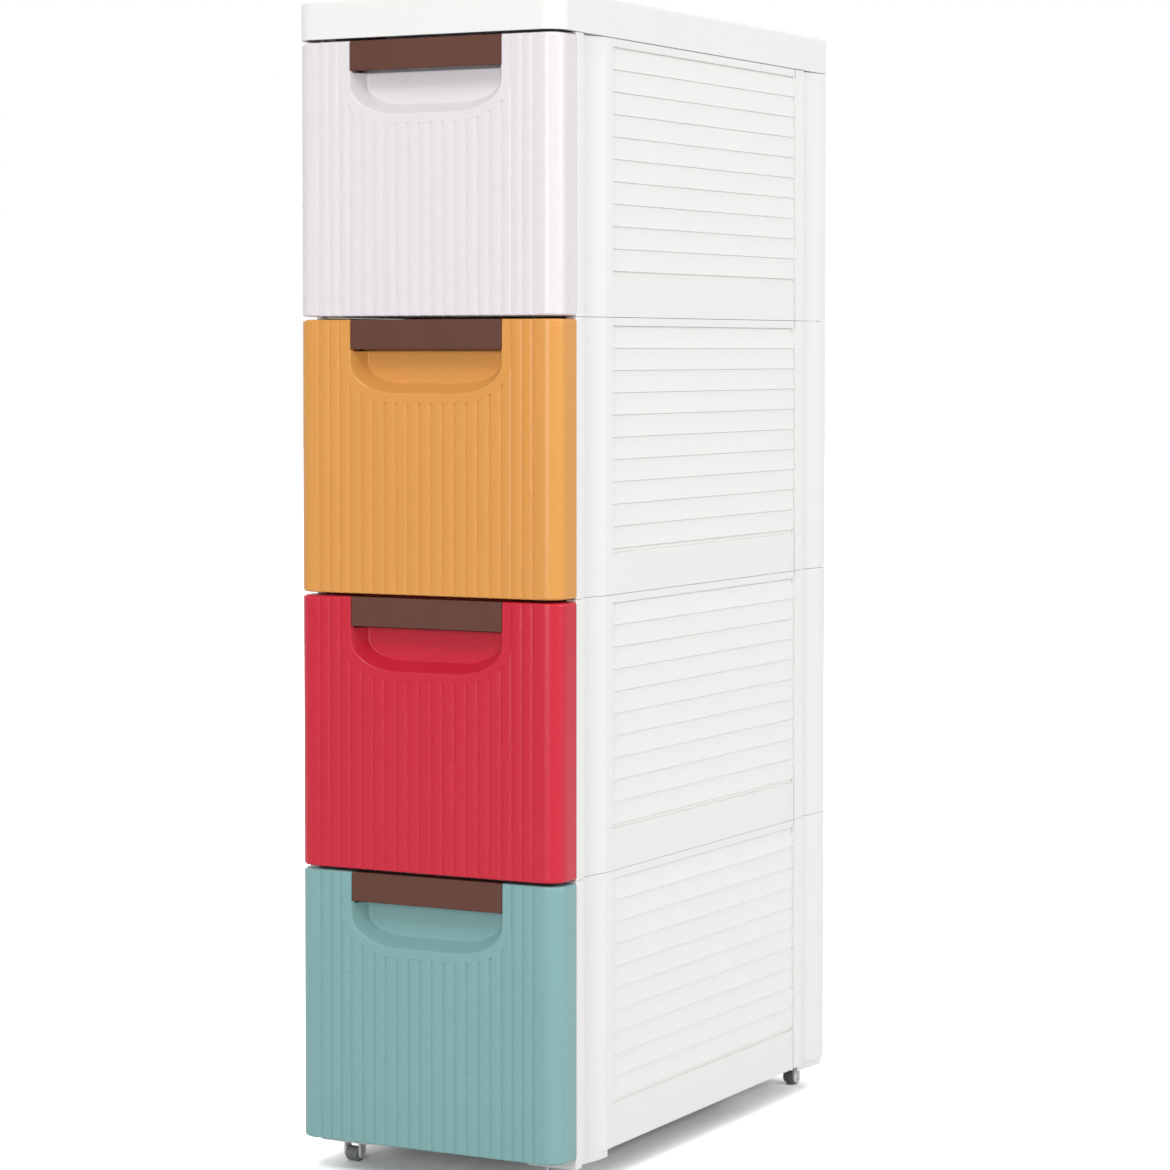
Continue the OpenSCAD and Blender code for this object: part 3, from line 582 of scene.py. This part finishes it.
def buildFront(shape, z):
    height, half = tower["frontHeight"], halfWidth
    shelf = height - shape["barHeight"]
    piece = addBlock("drawerFront1", (-half, yAt(0), z), (half, yAt(tower["frontDepth"]), z + height))
    openEdit(piece)
    pick(piece, "EDGE", lambda e: along(e, 2) and middle(e).y < yAt(1))
    bpy.ops.mesh.bevel(offset=shape["cornerRadius"] / 1000, segments=16, affect="EDGES")
    pick(piece, "EDGE", lambda e: sharp(e) and not along(e, 2) and middle(e).y < yAt(tower["frontDepth"] - 0.1))
    bpy.ops.mesh.bevel(offset=shape["edgeRadius"] / 1000, segments=5, affect="EDGES")
    closeEdit()

    # Hollow back, less the shell round the finger recess, the bar's cheeks and the screw bosses
    wall, inset = shape["wall"], shape["cornerRadius"] - shape["wall"]
    hollow = addBlock("hollow", (-half + wall, yAt(wall), z + wall),
                      (half - wall, yAt(tower["frontDepth"] + 1), z + height - wall))
    openEdit(hollow)
    pick(hollow, "EDGE", lambda e: along(e, 2) and middle(e).y < yAt(wall + 1))
    bpy.ops.mesh.bevel(offset=inset / 1000, segments=10, affect="EDGES")
    closeEdit()
    outerTop = shelf - shape["lipDrop"]
    shell = loft("shell", [
        atDepth(mirrored(handleArc(shape, shape["gripWall"]) + [(handleHalf + shape["gripWall"], outerTop)]), 0, z),
        atDepth(mirrored(handleArc(shape, shape["gripWall"] - shape["lean"])
                         + [(handleHalf + shape["gripWall"] - shape["lean"], outerTop)]),
                shape["recessDepth"] + shape["gripWall"], z)])
    keep = [shell]
    cheekX, thick = handleHalf + shape["gripWall"] / 2, shape["gripWall"] / 2
    keep += [addBlock("cheek", (x - thick, yAt(1), z + shelf - shape["cheek"]),
                      (x + thick, yAt(shape["cheekEnd"]), z + height - 1)) for x in (-cheekX, cheekX)]
    keep += [addRod("boss", (x, yAt(1), z + h), (x, yAt(shape["boxFront"]), z + h), shape["bossRadius"])
             for x, h in screwPlaces(shape)]
    combine(hollow, keep)
    combine(piece, [hollow])

    # Flutes: a fluted slab in front, kept off the band round the handle
    edge, depth, crown = shape["grooveHalf"], shape["grooveDepth"], shape["ribCrown"]
    centres = [(i + 0.5) * shape["ribPitch"] for i in range((shape["ribSpan"] + 1) // 2)]
    centres += [handleHalf + i * shape["sidePitch"] for i in range(1, shape["sideRibs"] + 1)]
    line = []
    grooves = sorted([-c for c in centres] + centres)
    for number, x in enumerate(grooves):
        before = (x - grooves[number - 1]) / 2 if number else shape["sideReach"]
        after = (grooves[number + 1] - x) / 2 if number + 1 < len(grooves) else shape["sideReach"]
        # Each rib is a shallow arc; between two of them is a round-bottomed groove
        line += [(x - before + (before - edge) * step, crown * step ** 2) for step in (0.0, 0.35, 0.6, 0.8, 1.0)]
        line += [(x + edge * step, crown + (depth - crown) * (1 - step * step))
                 for step in (-0.6, -0.25, 0.25, 0.6)]
        line += [(x + after - (after - edge) * step, crown * step ** 2) for step in (1.0, 0.8, 0.6, 0.35)]
    line += [(line[-1][0] + shape["runOut"], 0.0)]
    slab = [(x, yAt(t - hair / 10), z - 1) for x, t in line]
    slab += [(line[-1][0], yAt(-2), z - 1), (line[0][0], yAt(-2), z - 1)]
    flutes = loft("flutes", [slab, [(x, y, z + height + 1) for x, y, _ in slab]])
    band = mirrored(bandOutline(shape, 0))
    combine(flutes, [loft("band", [atDepth(band, -3, z), atDepth(band, 3, z)])])
    combine(piece, [flutes])
    band = mirrored(bandOutline(shape, 0.05))  # a hair wider, so that the two cuts share no wall
    combine(piece, [loft("bandCut", [atDepth(band, -1, z), atDepth(band, shape["bandDepth"], z)])])

    # Mouth of the handle with its shoulders and its rim, a quarter round with points at 30 and 60 degrees, then
    # the leaning recess with its filleted back
    rim, flat, slope = shape["rimRound"], shape["bandDepth"], shape["lean"] / shape["recessDepth"]
    combine(piece, [loft("mouth", [
        atDepth(mirrored(mouthOutline(shape, growth, lower)), t, z) for t, growth, lower in (
            (-1, rim + 0.3, rim + 0.3), (flat - 0.02, rim, rim), (flat + rim * 0.13, rim * 0.5, rim * 0.44),
            (flat + rim * 0.5, rim * 0.13, -0.05), (flat + rim, 0, -slope * (flat + rim)))])])
    start = flat + rim - 0.02
    combine(piece, [loft("recess", [
        atDepth(mirrored(handleArc(shape, -inset) + [(handleHalf - inset, shelf)]), t, z)
        for t, inset in [(start, slope * start)] + filletRun(shape)])])
    # Seat of the pull bar, and the slit that it leaves over the recess
    rear = yAt(shape["recessDepth"] + shape["gripWall"] + 1)
    seat = addBlock("seat", (-handleHalf - hair, yAt(shape["seat"]), z + shelf - hair),
                    (handleHalf + hair, rear, z + height + 1))
    slitHalf = handleHalf - shape["lean"] - hair
    slit = addBlock("slit", (-slitHalf, yAt(shape["recessDepth"] - 1), z + shelf - shape["lipDrop"]),
                    (slitHalf, rear - hair, z + shelf + 1))
    combine(piece, [seat, slit])
    combine(piece, [addRod("pilot", (x, yAt(shape["pilotStart"]), z + h), (x, yAt(shape["boxFront"] + 1), z + h),
                           shape["pilotRadius"], 20) for x, h in screwPlaces(shape)])
    return finishMesh(piece, 32)


def bandOutline(shape, extra):
    # Outer line of the plain band round the handle
    a, b, height = shape["cornerWidth"], shape["cornerHeight"], tower["frontHeight"]
    side, low = shape["rimSide"] + extra, shape["rimLow"] + extra
    steps = 24
    half = [(handleHalf - a + (a + side) * math.sin(math.pi / 2 * i / steps),
             height - shape["handleHeight"] + b - (b + low) * math.cos(math.pi / 2 * i / steps))
            for i in range(steps + 1)]
    return half + [(handleHalf + side, height + 2)]


def mouthOutline(shape, growth, lower):
    # The handle's opening up to the top edge, where the shoulders curve outwards
    height, r = tower["frontHeight"], shape["shoulderRound"]
    shelf = height - shape["barHeight"]
    edge = handleHalf + growth
    half = handleArc(shape, lower) + [(handleHalf + lower, shelf), (edge, shelf + 0.02)]
    for degrees in range(0, 91, 18):
        turn = math.radians(degrees)
        half += [(edge + r * (1 - math.cos(turn)), height - r * (1 - math.sin(turn)))]
    return half + [(edge + r + 0.2, height + 2)]


def filletRun(shape):
    # Down the leaning wall and round into the back wall, as (t, inset)
    tilt = math.atan2(shape["lean"], shape["recessDepth"])
    turn = math.pi / 2 - tilt
    r = shape["fillet"]
    cut = r * math.tan(turn / 2)
    firstT, firstInset = shape["recessDepth"] - cut * math.cos(tilt), shape["lean"] - cut * math.sin(tilt)
    steps = 6
    run = []
    for i in range(steps + 1):
        ahead, aside = r * math.sin(turn * i / steps), r * (1 - math.cos(turn * i / steps))
        run.append((firstT + ahead * math.cos(tilt) - aside * math.sin(tilt),
                    firstInset + ahead * math.sin(tilt) + aside * math.cos(tilt)))
    return run


frontZ = tierZ(1) + tower["frontLowGap"]
fronts = onEachTier(buildFront(front, frontZ), "drawerFront", 4)
for tier in range(1, 5):
    place(fronts[tier - 1], f"drawer_{tier}", f"drawer_front_{tier}", materials[drawerMaterials[tier - 1]])
print("drawer fronts built")


# Pull bars

bar = dict(gap=0.15, height=20.0, face=3.0, start=0.4, flange=12.0, softening=0.8)


def buildBar(shape, top):
    half = handleHalf - shape["gap"]
    low = top - shape["height"] + shape["gap"]
    start, end, face = shape["start"], shape["start"] + shape["flange"], shape["face"]
    piece = addBlock("pullBar1", (-half, yAt(start), low), (half, yAt(end), top))
    combine(piece, [addBlock("hollow", (-half + face, yAt(start + face), low - 1),
                             (half - face, yAt(end + 1), top - face))])
    softEdges(piece, shape["softening"], 3, 40)
    return finishMesh(piece)


bars = onEachTier(buildBar(bar, frontZ + tower["frontHeight"]), "pullBar", 4)
for tier in range(1, 5):
    place(bars[tier - 1], f"drawer_{tier}", f"pull_bar_{tier}", materials["mouldedBrownPolystyrene"])
print("pull bars built")


# Drawer boxes

box = dict(
    half=91.0, start=19.0, end=408.2, low=14.3, height=155.0, cornerRadius=6.0, wall=2.2, floor=2.5, footRound=2.0,
    bead=1.0, beadHeight=4.0, beadStart=31.2, stopX=50.0, stopWidth=12.0, stopLength=4.0, stopIn=12.0, stopDrop=1.9,
    overlap=0.5, holeRadius=1.55, softening=0.35,
)


def addRounded(name, low, high, radius, segments=8):
    piece = addBlock(name, low, high)
    openEdit(piece)
    pick(piece, "EDGE", lambda e: along(e, 2))
    bpy.ops.mesh.bevel(offset=radius / 1000, segments=segments, affect="EDGES")
    closeEdit()
    return piece


def roundFoot(piece, z, radius):
    openEdit(piece)
    pick(piece, "EDGE", lambda e: levelAt(e, z) and sharp(e))
    bpy.ops.mesh.bevel(offset=radius / 1000, segments=4, affect="EDGES")
    closeEdit()
    return piece


def buildBox(shape, datum):
    low, high = datum + shape["low"], datum + shape["low"] + shape["height"]
    half, start, end, wall, bead = shape["half"], shape["start"], shape["end"], shape["wall"], shape["bead"]
    piece = addRounded("drawerBox1", (-half, yAt(start), low), (half, yAt(end), high), shape["cornerRadius"])
    roundFoot(piece, low, shape["footRound"])
    # Bead round the sides and back, cut off where the drawer front begins
    rim = addRounded("bead", (-half - bead, yAt(start - bead), high - shape["beadHeight"]),
                     (half + bead, yAt(end + bead), high), shape["cornerRadius"] + bead)
    openEdit(rim)
    pickAll()
    bpy.ops.mesh.bisect(plane_co=metres(0, yAt(shape["beadStart"]), 0), plane_no=(0, 1, 0), use_fill=True,
                        clear_inner=True)
    closeEdit()
    combine(piece, [rim], "UNION")
    stopHalf, stopStart = shape["stopWidth"] / 2, end - shape["stopIn"]
    stops = [addBlock("stop", (x - stopHalf, yAt(stopStart), low - shape["stopDrop"]),
                      (x + stopHalf, yAt(stopStart + shape["stopLength"]), low + shape["overlap"]))
             for x in (-shape["stopX"], shape["stopX"])]
    combine(piece, stops, "UNION")
    cavity = addRounded("cavity", (-half + wall, yAt(start + wall), low + shape["floor"]),
                        (half - wall, yAt(end - wall), high + 1), shape["cornerRadius"] - wall)
    roundFoot(cavity, low + shape["floor"], shape["footRound"])
    base = datum + tower["frontLowGap"]
    holes = [addRod("hole", (x, yAt(start - 1), base + h), (x, yAt(start + wall + 1), base + h),
                    shape["holeRadius"], 24) for x, h in screwPlaces(front)]
    combine(piece, [cavity] + holes)
    softEdges(piece, shape["softening"], 2, 50)
    return finishMesh(piece)


boxes = onEachTier(buildBox(box, tierZ(1)), "drawerBox", 4)
for tier in range(1, 5):
    place(boxes[tier - 1], f"drawer_{tier}", f"drawer_box_{tier}", materials[drawerMaterials[tier - 1]])
print("drawer boxes built")


# Drawer screws

screw = dict(seat=21.2, headRadius=3.5, headHeight=1.8, headRound=1.1, shankRadius=1.25, shankLength=12.0,
             overlap=0.3, slotWidth=0.9, slotLength=3.8, slotDepth=1.1)


def buildScrew(shape, x, z):
    seat, top = shape["seat"], yAt(shape["seat"] + shape["headHeight"])
    piece = addRod("screw", (x, yAt(seat), z), (x, top, z), shape["headRadius"], 40)
    openEdit(piece)
    pick(piece, "EDGE", lambda e: sharp(e) and middle(e).y > yAt(seat + 1))
    bpy.ops.mesh.bevel(offset=shape["headRound"] / 1000, segments=4, affect="EDGES")
    closeEdit()
    shank = addRod("shank", (x, yAt(seat - shape["shankLength"]), z), (x, yAt(seat + shape["overlap"]), z),
                   shape["shankRadius"], 24)
    combine(piece, [shank], "UNION")
    # Cross slot
    floor, wide, long = top - shape["slotDepth"], shape["slotWidth"] / 2, shape["slotLength"] / 2
    combine(piece, [addBlock("slot", (x - across, floor, z - up), (x + across, top + 1, z + up))
                    for across, up in ((wide, long), (long, wide))])
    return finishMesh(piece)


def buildScrews(shape, datum):
    first = buildScrew(shape, front["bossX"], datum + tower["frontLowGap"] + front["bossLow"])
    across, rise = -2 * front["bossX"], front["bossHigh"] - front["bossLow"]
    others = [copyPiece(first, "screw", (x, 0, z)) for x, z in ((across, 0), (0, rise), (across, rise))]
    makeActive(first)
    for each in others:
        each.select_set(True)
    bpy.ops.object.join()
    return named("drawerScrews1")


screws = onEachTier(buildScrews(screw, tierZ(1)), "drawerScrews", 4)
for tier in range(1, 5):
    place(screws[tier - 1], f"drawer_{tier}", f"drawer_screws_{tier}", materials["platedSteel"])
print("screws built")


# Back panels

back = dict(half=94.9, start=416.2, thickness=2.8, lowGap=0.1, grooveDepth=0.8, grooveEnd=80.5, softening=0.25)


def buildBack(shape, datum):
    high = datum + tower["tierHeight"] - tower["seam"]
    rear = yAt(shape["start"] + shape["thickness"])
    piece = addBlock("backPanel1", (-shape["half"], yAt(shape["start"]), datum + shape["lowGap"]),
                     (shape["half"], rear, high))
    # Shallow grooves at the heights of the side panels' slats
    lines = [high - panel["slatTop"] - i * panel["slatPitch"] for i in range(panel["slatCount"] + 1)]
    depth, end = shape["grooveDepth"], shape["grooveEnd"]
    openEdit(piece)
    for z in [z + step for z in lines for step in (-depth, 0, depth)]:
        pickAll()
        bpy.ops.mesh.bisect(plane_co=metres(0, 0, z), plane_no=(0, 0, 1))
    for x in (-end, -end + depth, end - depth, end):
        pickAll()
        bpy.ops.mesh.bisect(plane_co=metres(x, 0, 0), plane_no=(1, 0, 0))
    pick(piece, "VERT", lambda v: near(v.co.y * 1000, rear, 0.01) and abs(v.co.x * 1000) < end - depth / 2
         and any(near(v.co.z * 1000, z, 0.01) for z in lines))
    bpy.ops.transform.translate(value=metres(0, -depth, 0))
    closeEdit()
    softEdges(piece, shape["softening"], 2, 25)
    return finishMesh(piece)


backs = onEachTier(buildBack(back, tierZ(1)), "backPanel", 4)
for tier in range(1, 5):
    place(backs[tier - 1], "cabinet", f"back_panel_{tier}", materials["mouldedWhitePolypropylene"])
print("back panels built")


# Tier frames and base

frames = dict(tierSoftening=0.4, baseSoftening=0.5, weld=0.003, flatness=0.5)


def refined(node, name, width):
    # A copy of the CAD shape with its flat faces made whole and its edges softened
    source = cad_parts[node]
    piece = bpy.data.objects.new(name, source.data.copy())
    piece.data.name = name
    bpy.context.scene.collection.objects.link(piece)
    openEdit(piece)
    pickAll()
    bpy.ops.mesh.remove_doubles(threshold=frames["weld"] / 1000)
    bpy.ops.mesh.dissolve_limited(angle_limit=math.radians(frames["flatness"]))
    closeEdit()
    softEdges(piece, width)
    return finishMesh(piece)


tierFrames = onEachTier(refined("tier_frame_1", "tierFrame1", frames["tierSoftening"]), "tierFrame", 3)
for tier in range(1, 4):
    place(tierFrames[tier - 1], "cabinet", f"tier_frame_{tier}", materials["mouldedWhitePolypropylene"])
place(refined("base_frame", "baseFrame", frames["baseSoftening"]), "cabinet", "base_frame",
      materials["mouldedWhitePolypropylene"])
print("frames built")


# Casters

caster = dict(
    wheelRadius=5.0, wheelWidth=10.0, trail=5.0, treadRound=1.2, bore=1.33, hubRim=0.6, hubStep=0.2, hubSink=0.4,
    axleRadius=1.25, axleHalf=6.8, axleRound=0.3, armRadius=2.8, armSlack=0.06, armIn=5.3, armOut=7.3, eyeSlack=0.05,
    hoodRadius=9.0, hoodLow=20.4, hoodHigh=22.4, stemRadius=3.0, stemTop=30.5, overlap=0.5, softening=0.3,
    through=10.0,
)
casterPlaces = {  # across, back, and the turn about the stem in degrees
    "fl": (-78, yAt(43), -8), "fr": (78, yAt(43), 14), "rl": (-78, yAt(404), 24), "rr": (78, yAt(404), 148)}


def buildFork(shape):
    z, y = shape["wheelRadius"], -shape["trail"]
    joined, half = shape["hoodLow"] + shape["overlap"], shape["armRadius"] - shape["armSlack"]
    piece = addRod("casterFork", (0, 0, shape["hoodLow"]), (0, 0, shape["hoodHigh"]), shape["hoodRadius"], 64)
    tools = [addRod("stem", (0, 0, joined), (0, 0, shape["stemTop"]), shape["stemRadius"], 40)]
    for side in (-1, 1):
        start, end = sorted((side * shape["armIn"], side * shape["armOut"]))
        tools += [addRod("eye", (start, y, z), (end, y, z), shape["armRadius"], 40),
                  addBlock("arm", (start + hair, y - half, z), (end - hair, y + half, joined))]
    combine(piece, tools, "UNION")
    through = shape["through"]
    combine(piece, [addRod("hole", (-through, y, z), (through, y, z), shape["axleRadius"] + shape["eyeSlack"], 32)])
    softEdges(piece, shape["softening"], 2, 40)
    return finishMesh(piece)


def buildWheel(shape):
    z, y, half = shape["wheelRadius"], -shape["trail"], shape["wheelWidth"] / 2
    piece = addRod("casterWheel", (-half, y, z), (half, y, z), shape["wheelRadius"], 64)
    openEdit(piece)
    pick(piece, "EDGE", sharp)
    bpy.ops.mesh.bevel(offset=shape["treadRound"] / 1000, segments=4, affect="EDGES")
    # Sunk hub faces
    pick(piece, "FACE", lambda f: abs(f.normal.x) > 0.99)
    bpy.ops.mesh.inset(thickness=shape["hubRim"] / 1000, use_individual=True)
    bpy.ops.mesh.inset(thickness=shape["hubStep"] / 1000, depth=-shape["hubSink"] / 1000, use_individual=True)
    closeEdit()
    through = shape["through"]
    combine(piece, [addRod("bore", (-through, y, z), (through, y, z), shape["bore"], 32)])
    return finishMesh(piece)


def buildAxle(shape):
    z, y = shape["wheelRadius"], -shape["trail"]
    piece = addRod("casterAxle", (-shape["axleHalf"], y, z), (shape["axleHalf"], y, z), shape["axleRadius"], 32)
    openEdit(piece)
    pick(piece, "EDGE", sharp)
    bpy.ops.mesh.bevel(offset=shape["axleRound"] / 1000, segments=3, affect="EDGES")
    closeEdit()
    return finishMesh(piece)


# Each is modelled once, at the origin, and copied to the four corners
for model, node, body, finish, slot in (
        (buildFork(caster), "caster_fork", "caster", "mouldedGreyNylon", "caster_grey"),
        (buildAxle(caster), "caster_axle", "caster", "platedSteel", "steel"),
        (buildWheel(caster), "caster_wheel", "wheel", "mouldedGreyPolyethylene", "wheel_grey")):
    for corner, (x, y, turn) in casterPlaces.items():
        place(copyPiece(model, model.name + corner.title(), (x, y, 0), turn), f"{body}_{corner}", f"{node}_{corner}",
              materials[finish])
    bpy.data.objects.remove(model)
print("casters built")


# Camera

view = dict(place=(1176.8, -2211.6, 552.9), yaw=27.870, pitch=2.253, lens=108.086, sensor=36.0, shift=-0.0803,
            nearest=0.05, farthest=100.0)
camera = bpy.data.objects.new("photoCamera", bpy.data.cameras.new("photoCamera"))
bpy.context.scene.collection.objects.link(camera)
camera.location = metres(*view["place"])
camera.rotation_euler = (math.radians(90 - view["pitch"]), 0, math.radians(view["yaw"]))
camera.data.lens, camera.data.sensor_width, camera.data.shift_y = view["lens"], view["sensor"], view["shift"]
camera.data.clip_start, camera.data.clip_end = view["nearest"], view["farthest"]
bpy.context.scene.camera = camera


# Floor, world and lamps

studio = dict(
    floorSize=30.0, floorColour=0.5, floorMirrored=1.2,  # the floor's size in metres, its grey, and as gloss sees it
    floorSeen=2.8, floorUnder=1.3, shadowInset=12.0, shadowReach=0.09,  # as the camera sees it: far away, and close by with painted shade round the tower's foot
    ambient=0.86, skyLow=0.25, skyHigh=0.55, skyTop=0.35,  # soft light from above, and how it fades with height
    aim=0.4,  # height in metres that the lamps point at
)
lamps = {  # azimuth from the front towards the right, elevation, distance and size in metres, watts
    "frontLowLamp": (8.0, 8.0, 4.0, 1.4, 61.0),
    "frontHighLamp": (4.0, 51.0, 4.0, 1.2, 45.0),
    "sideLamp": (94.0, 18.0, 4.0, 1.4, 80.0),
    "backLamp": (226.0, 25.0, 4.0, 1.4, 45.0),
}


def rayKinds(tree):
    # 1 for camera rays, and 1 for glossy and transmission rays
    path = addNode(tree, "LightPath").outputs
    mirroredRay = addNode(tree, "Math", {0: path["Is Glossy Ray"], 1: path["Is Transmission Ray"]},
                          operation="MAXIMUM")
    return path["Is Camera Ray"], mirroredRay.outputs[0]


def buildFloor(shape):
    deselectAll()
    bpy.ops.mesh.primitive_plane_add(size=shape["floorSize"])
    piece = named("studioFloor")
    openEdit(piece)
    pickAll()
    bpy.ops.mesh.subdivide(number_cuts=3)
    closeEdit()
    material, tree = emptyMaterial("paleStudioFloor")
    straight, mirroredRay = rayKinds(tree)
    plain, gloss = [(v, v, v, 1) for v in (shape["floorColour"], shape["floorMirrored"])]
    # Seen by the camera the floor is white, and darker close round the foot of the tower, as painted shade that
    # deepens the shadow lying there
    foot = metres(halfWidth - shape["shadowInset"], tower["depth"] / 2 - shape["shadowInset"], 0)
    away = addNode(tree, "TexCoord").outputs["Object"]
    for operation, other in (("ABSOLUTE", {}), ("SUBTRACT", {1: foot}), ("MAXIMUM", {1: (0, 0, 0)})):
        away = addNode(tree, "VectorMath", {0: away, **other}, operation=operation).outputs[0]
    away = addNode(tree, "VectorMath", {0: away}, operation="LENGTH").outputs["Value"]
    seenWithPaintedShade = addNode(tree, "MapRange", {"Value": away, "From Max": shape["shadowReach"],
                                      "To Min": shape["floorUnder"], "To Max": shape["floorSeen"]})
    colour = addNode(tree, "Mix", {0: mirroredRay, 6: plain, 7: gloss}, data_type="RGBA")
    colour = addNode(tree, "Mix", {0: straight, 6: colour.outputs[2], 7: seenWithPaintedShade.outputs[0]}, data_type="RGBA")
    shader = addNode(tree, "BsdfDiffuse", {"Color": colour.outputs[2]})
    addNode(tree, "OutputMaterial", {"Surface": shader.outputs[0]})
    piece.data.materials.append(material)


def buildWorld(shape):
    world = bpy.data.worlds.new("studioWorld")
    bpy.context.scene.world = world
    world.use_nodes = True
    tree = world.node_tree
    tree.nodes.clear()
    either = addNode(tree, "Math", dict(enumerate(rayKinds(tree))), operation="MAXIMUM")
    # The soft light comes from above, fading out towards the horizon and, less so, straight overhead
    way = addNode(tree, "SeparateXYZ", {"Vector": addNode(tree, "TexCoord").outputs["Generated"]})
    sky = addNode(tree, "MapRange", {"Value": way.outputs["Z"], "From Min": shape["skyLow"],
                                     "From Max": shape["skyHigh"], "To Max": shape["ambient"]})
    fade = addNode(tree, "MapRange", {"Value": way.outputs["Z"], "From Min": shape["skyHigh"],
                                      "To Min": 1.0, "To Max": shape["skyTop"]})
    sky = addNode(tree, "Math", {0: sky.outputs[0], 1: fade.outputs[0]}, operation="MULTIPLY")
    strength = addNode(tree, "MapRange", {"Value": either.outputs[0], "To Min": sky.outputs[0], "To Max": 1.0})
    light = addNode(tree, "Background", {"Color": (1, 1, 1, 1), "Strength": strength.outputs[0]})
    addNode(tree, "OutputWorld", {"Surface": light.outputs[0]})


def addLamp(name, azimuth, elevation, distance, size, power):
    lamp = bpy.data.objects.new(name, bpy.data.lights.new(name, "AREA"))
    bpy.context.scene.collection.objects.link(lamp)
    turn, rise = math.radians(azimuth), math.radians(elevation)
    away = Vector((math.sin(turn) * math.cos(rise), -math.cos(turn) * math.cos(rise), math.sin(rise)))
    lamp.location = Vector((0, 0, studio["aim"])) + distance * away
    lamp.rotation_euler = away.to_track_quat("Z", "Y").to_euler()
    lamp.data.shape, lamp.data.size, lamp.data.energy = "SQUARE", size, power


buildFloor(studio)
buildWorld(studio)
for name, settings in lamps.items():
    addLamp(name, *settings)
print("studio ready")

# The CAD nodes get the same finishes as their pieces, and the stacking pins the panels' white
finishes = {"pull_bar": "mouldedBrownPolystyrene", "drawer_screws": "platedSteel", "caster_axle": "platedSteel",
            "caster_fork": "mouldedGreyNylon", "caster_wheel": "mouldedGreyPolyethylene"}
finishes.update({f"drawer_{kind}_{n}": drawerMaterials[n - 1] for kind in ("box", "front") for n in range(1, 5)})
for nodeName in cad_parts:
    matching = [finish for start, finish in finishes.items() if nodeName.startswith(start)]
    dress(nodeName, materials[(matching + ["mouldedWhitePolypropylene"])[0]])
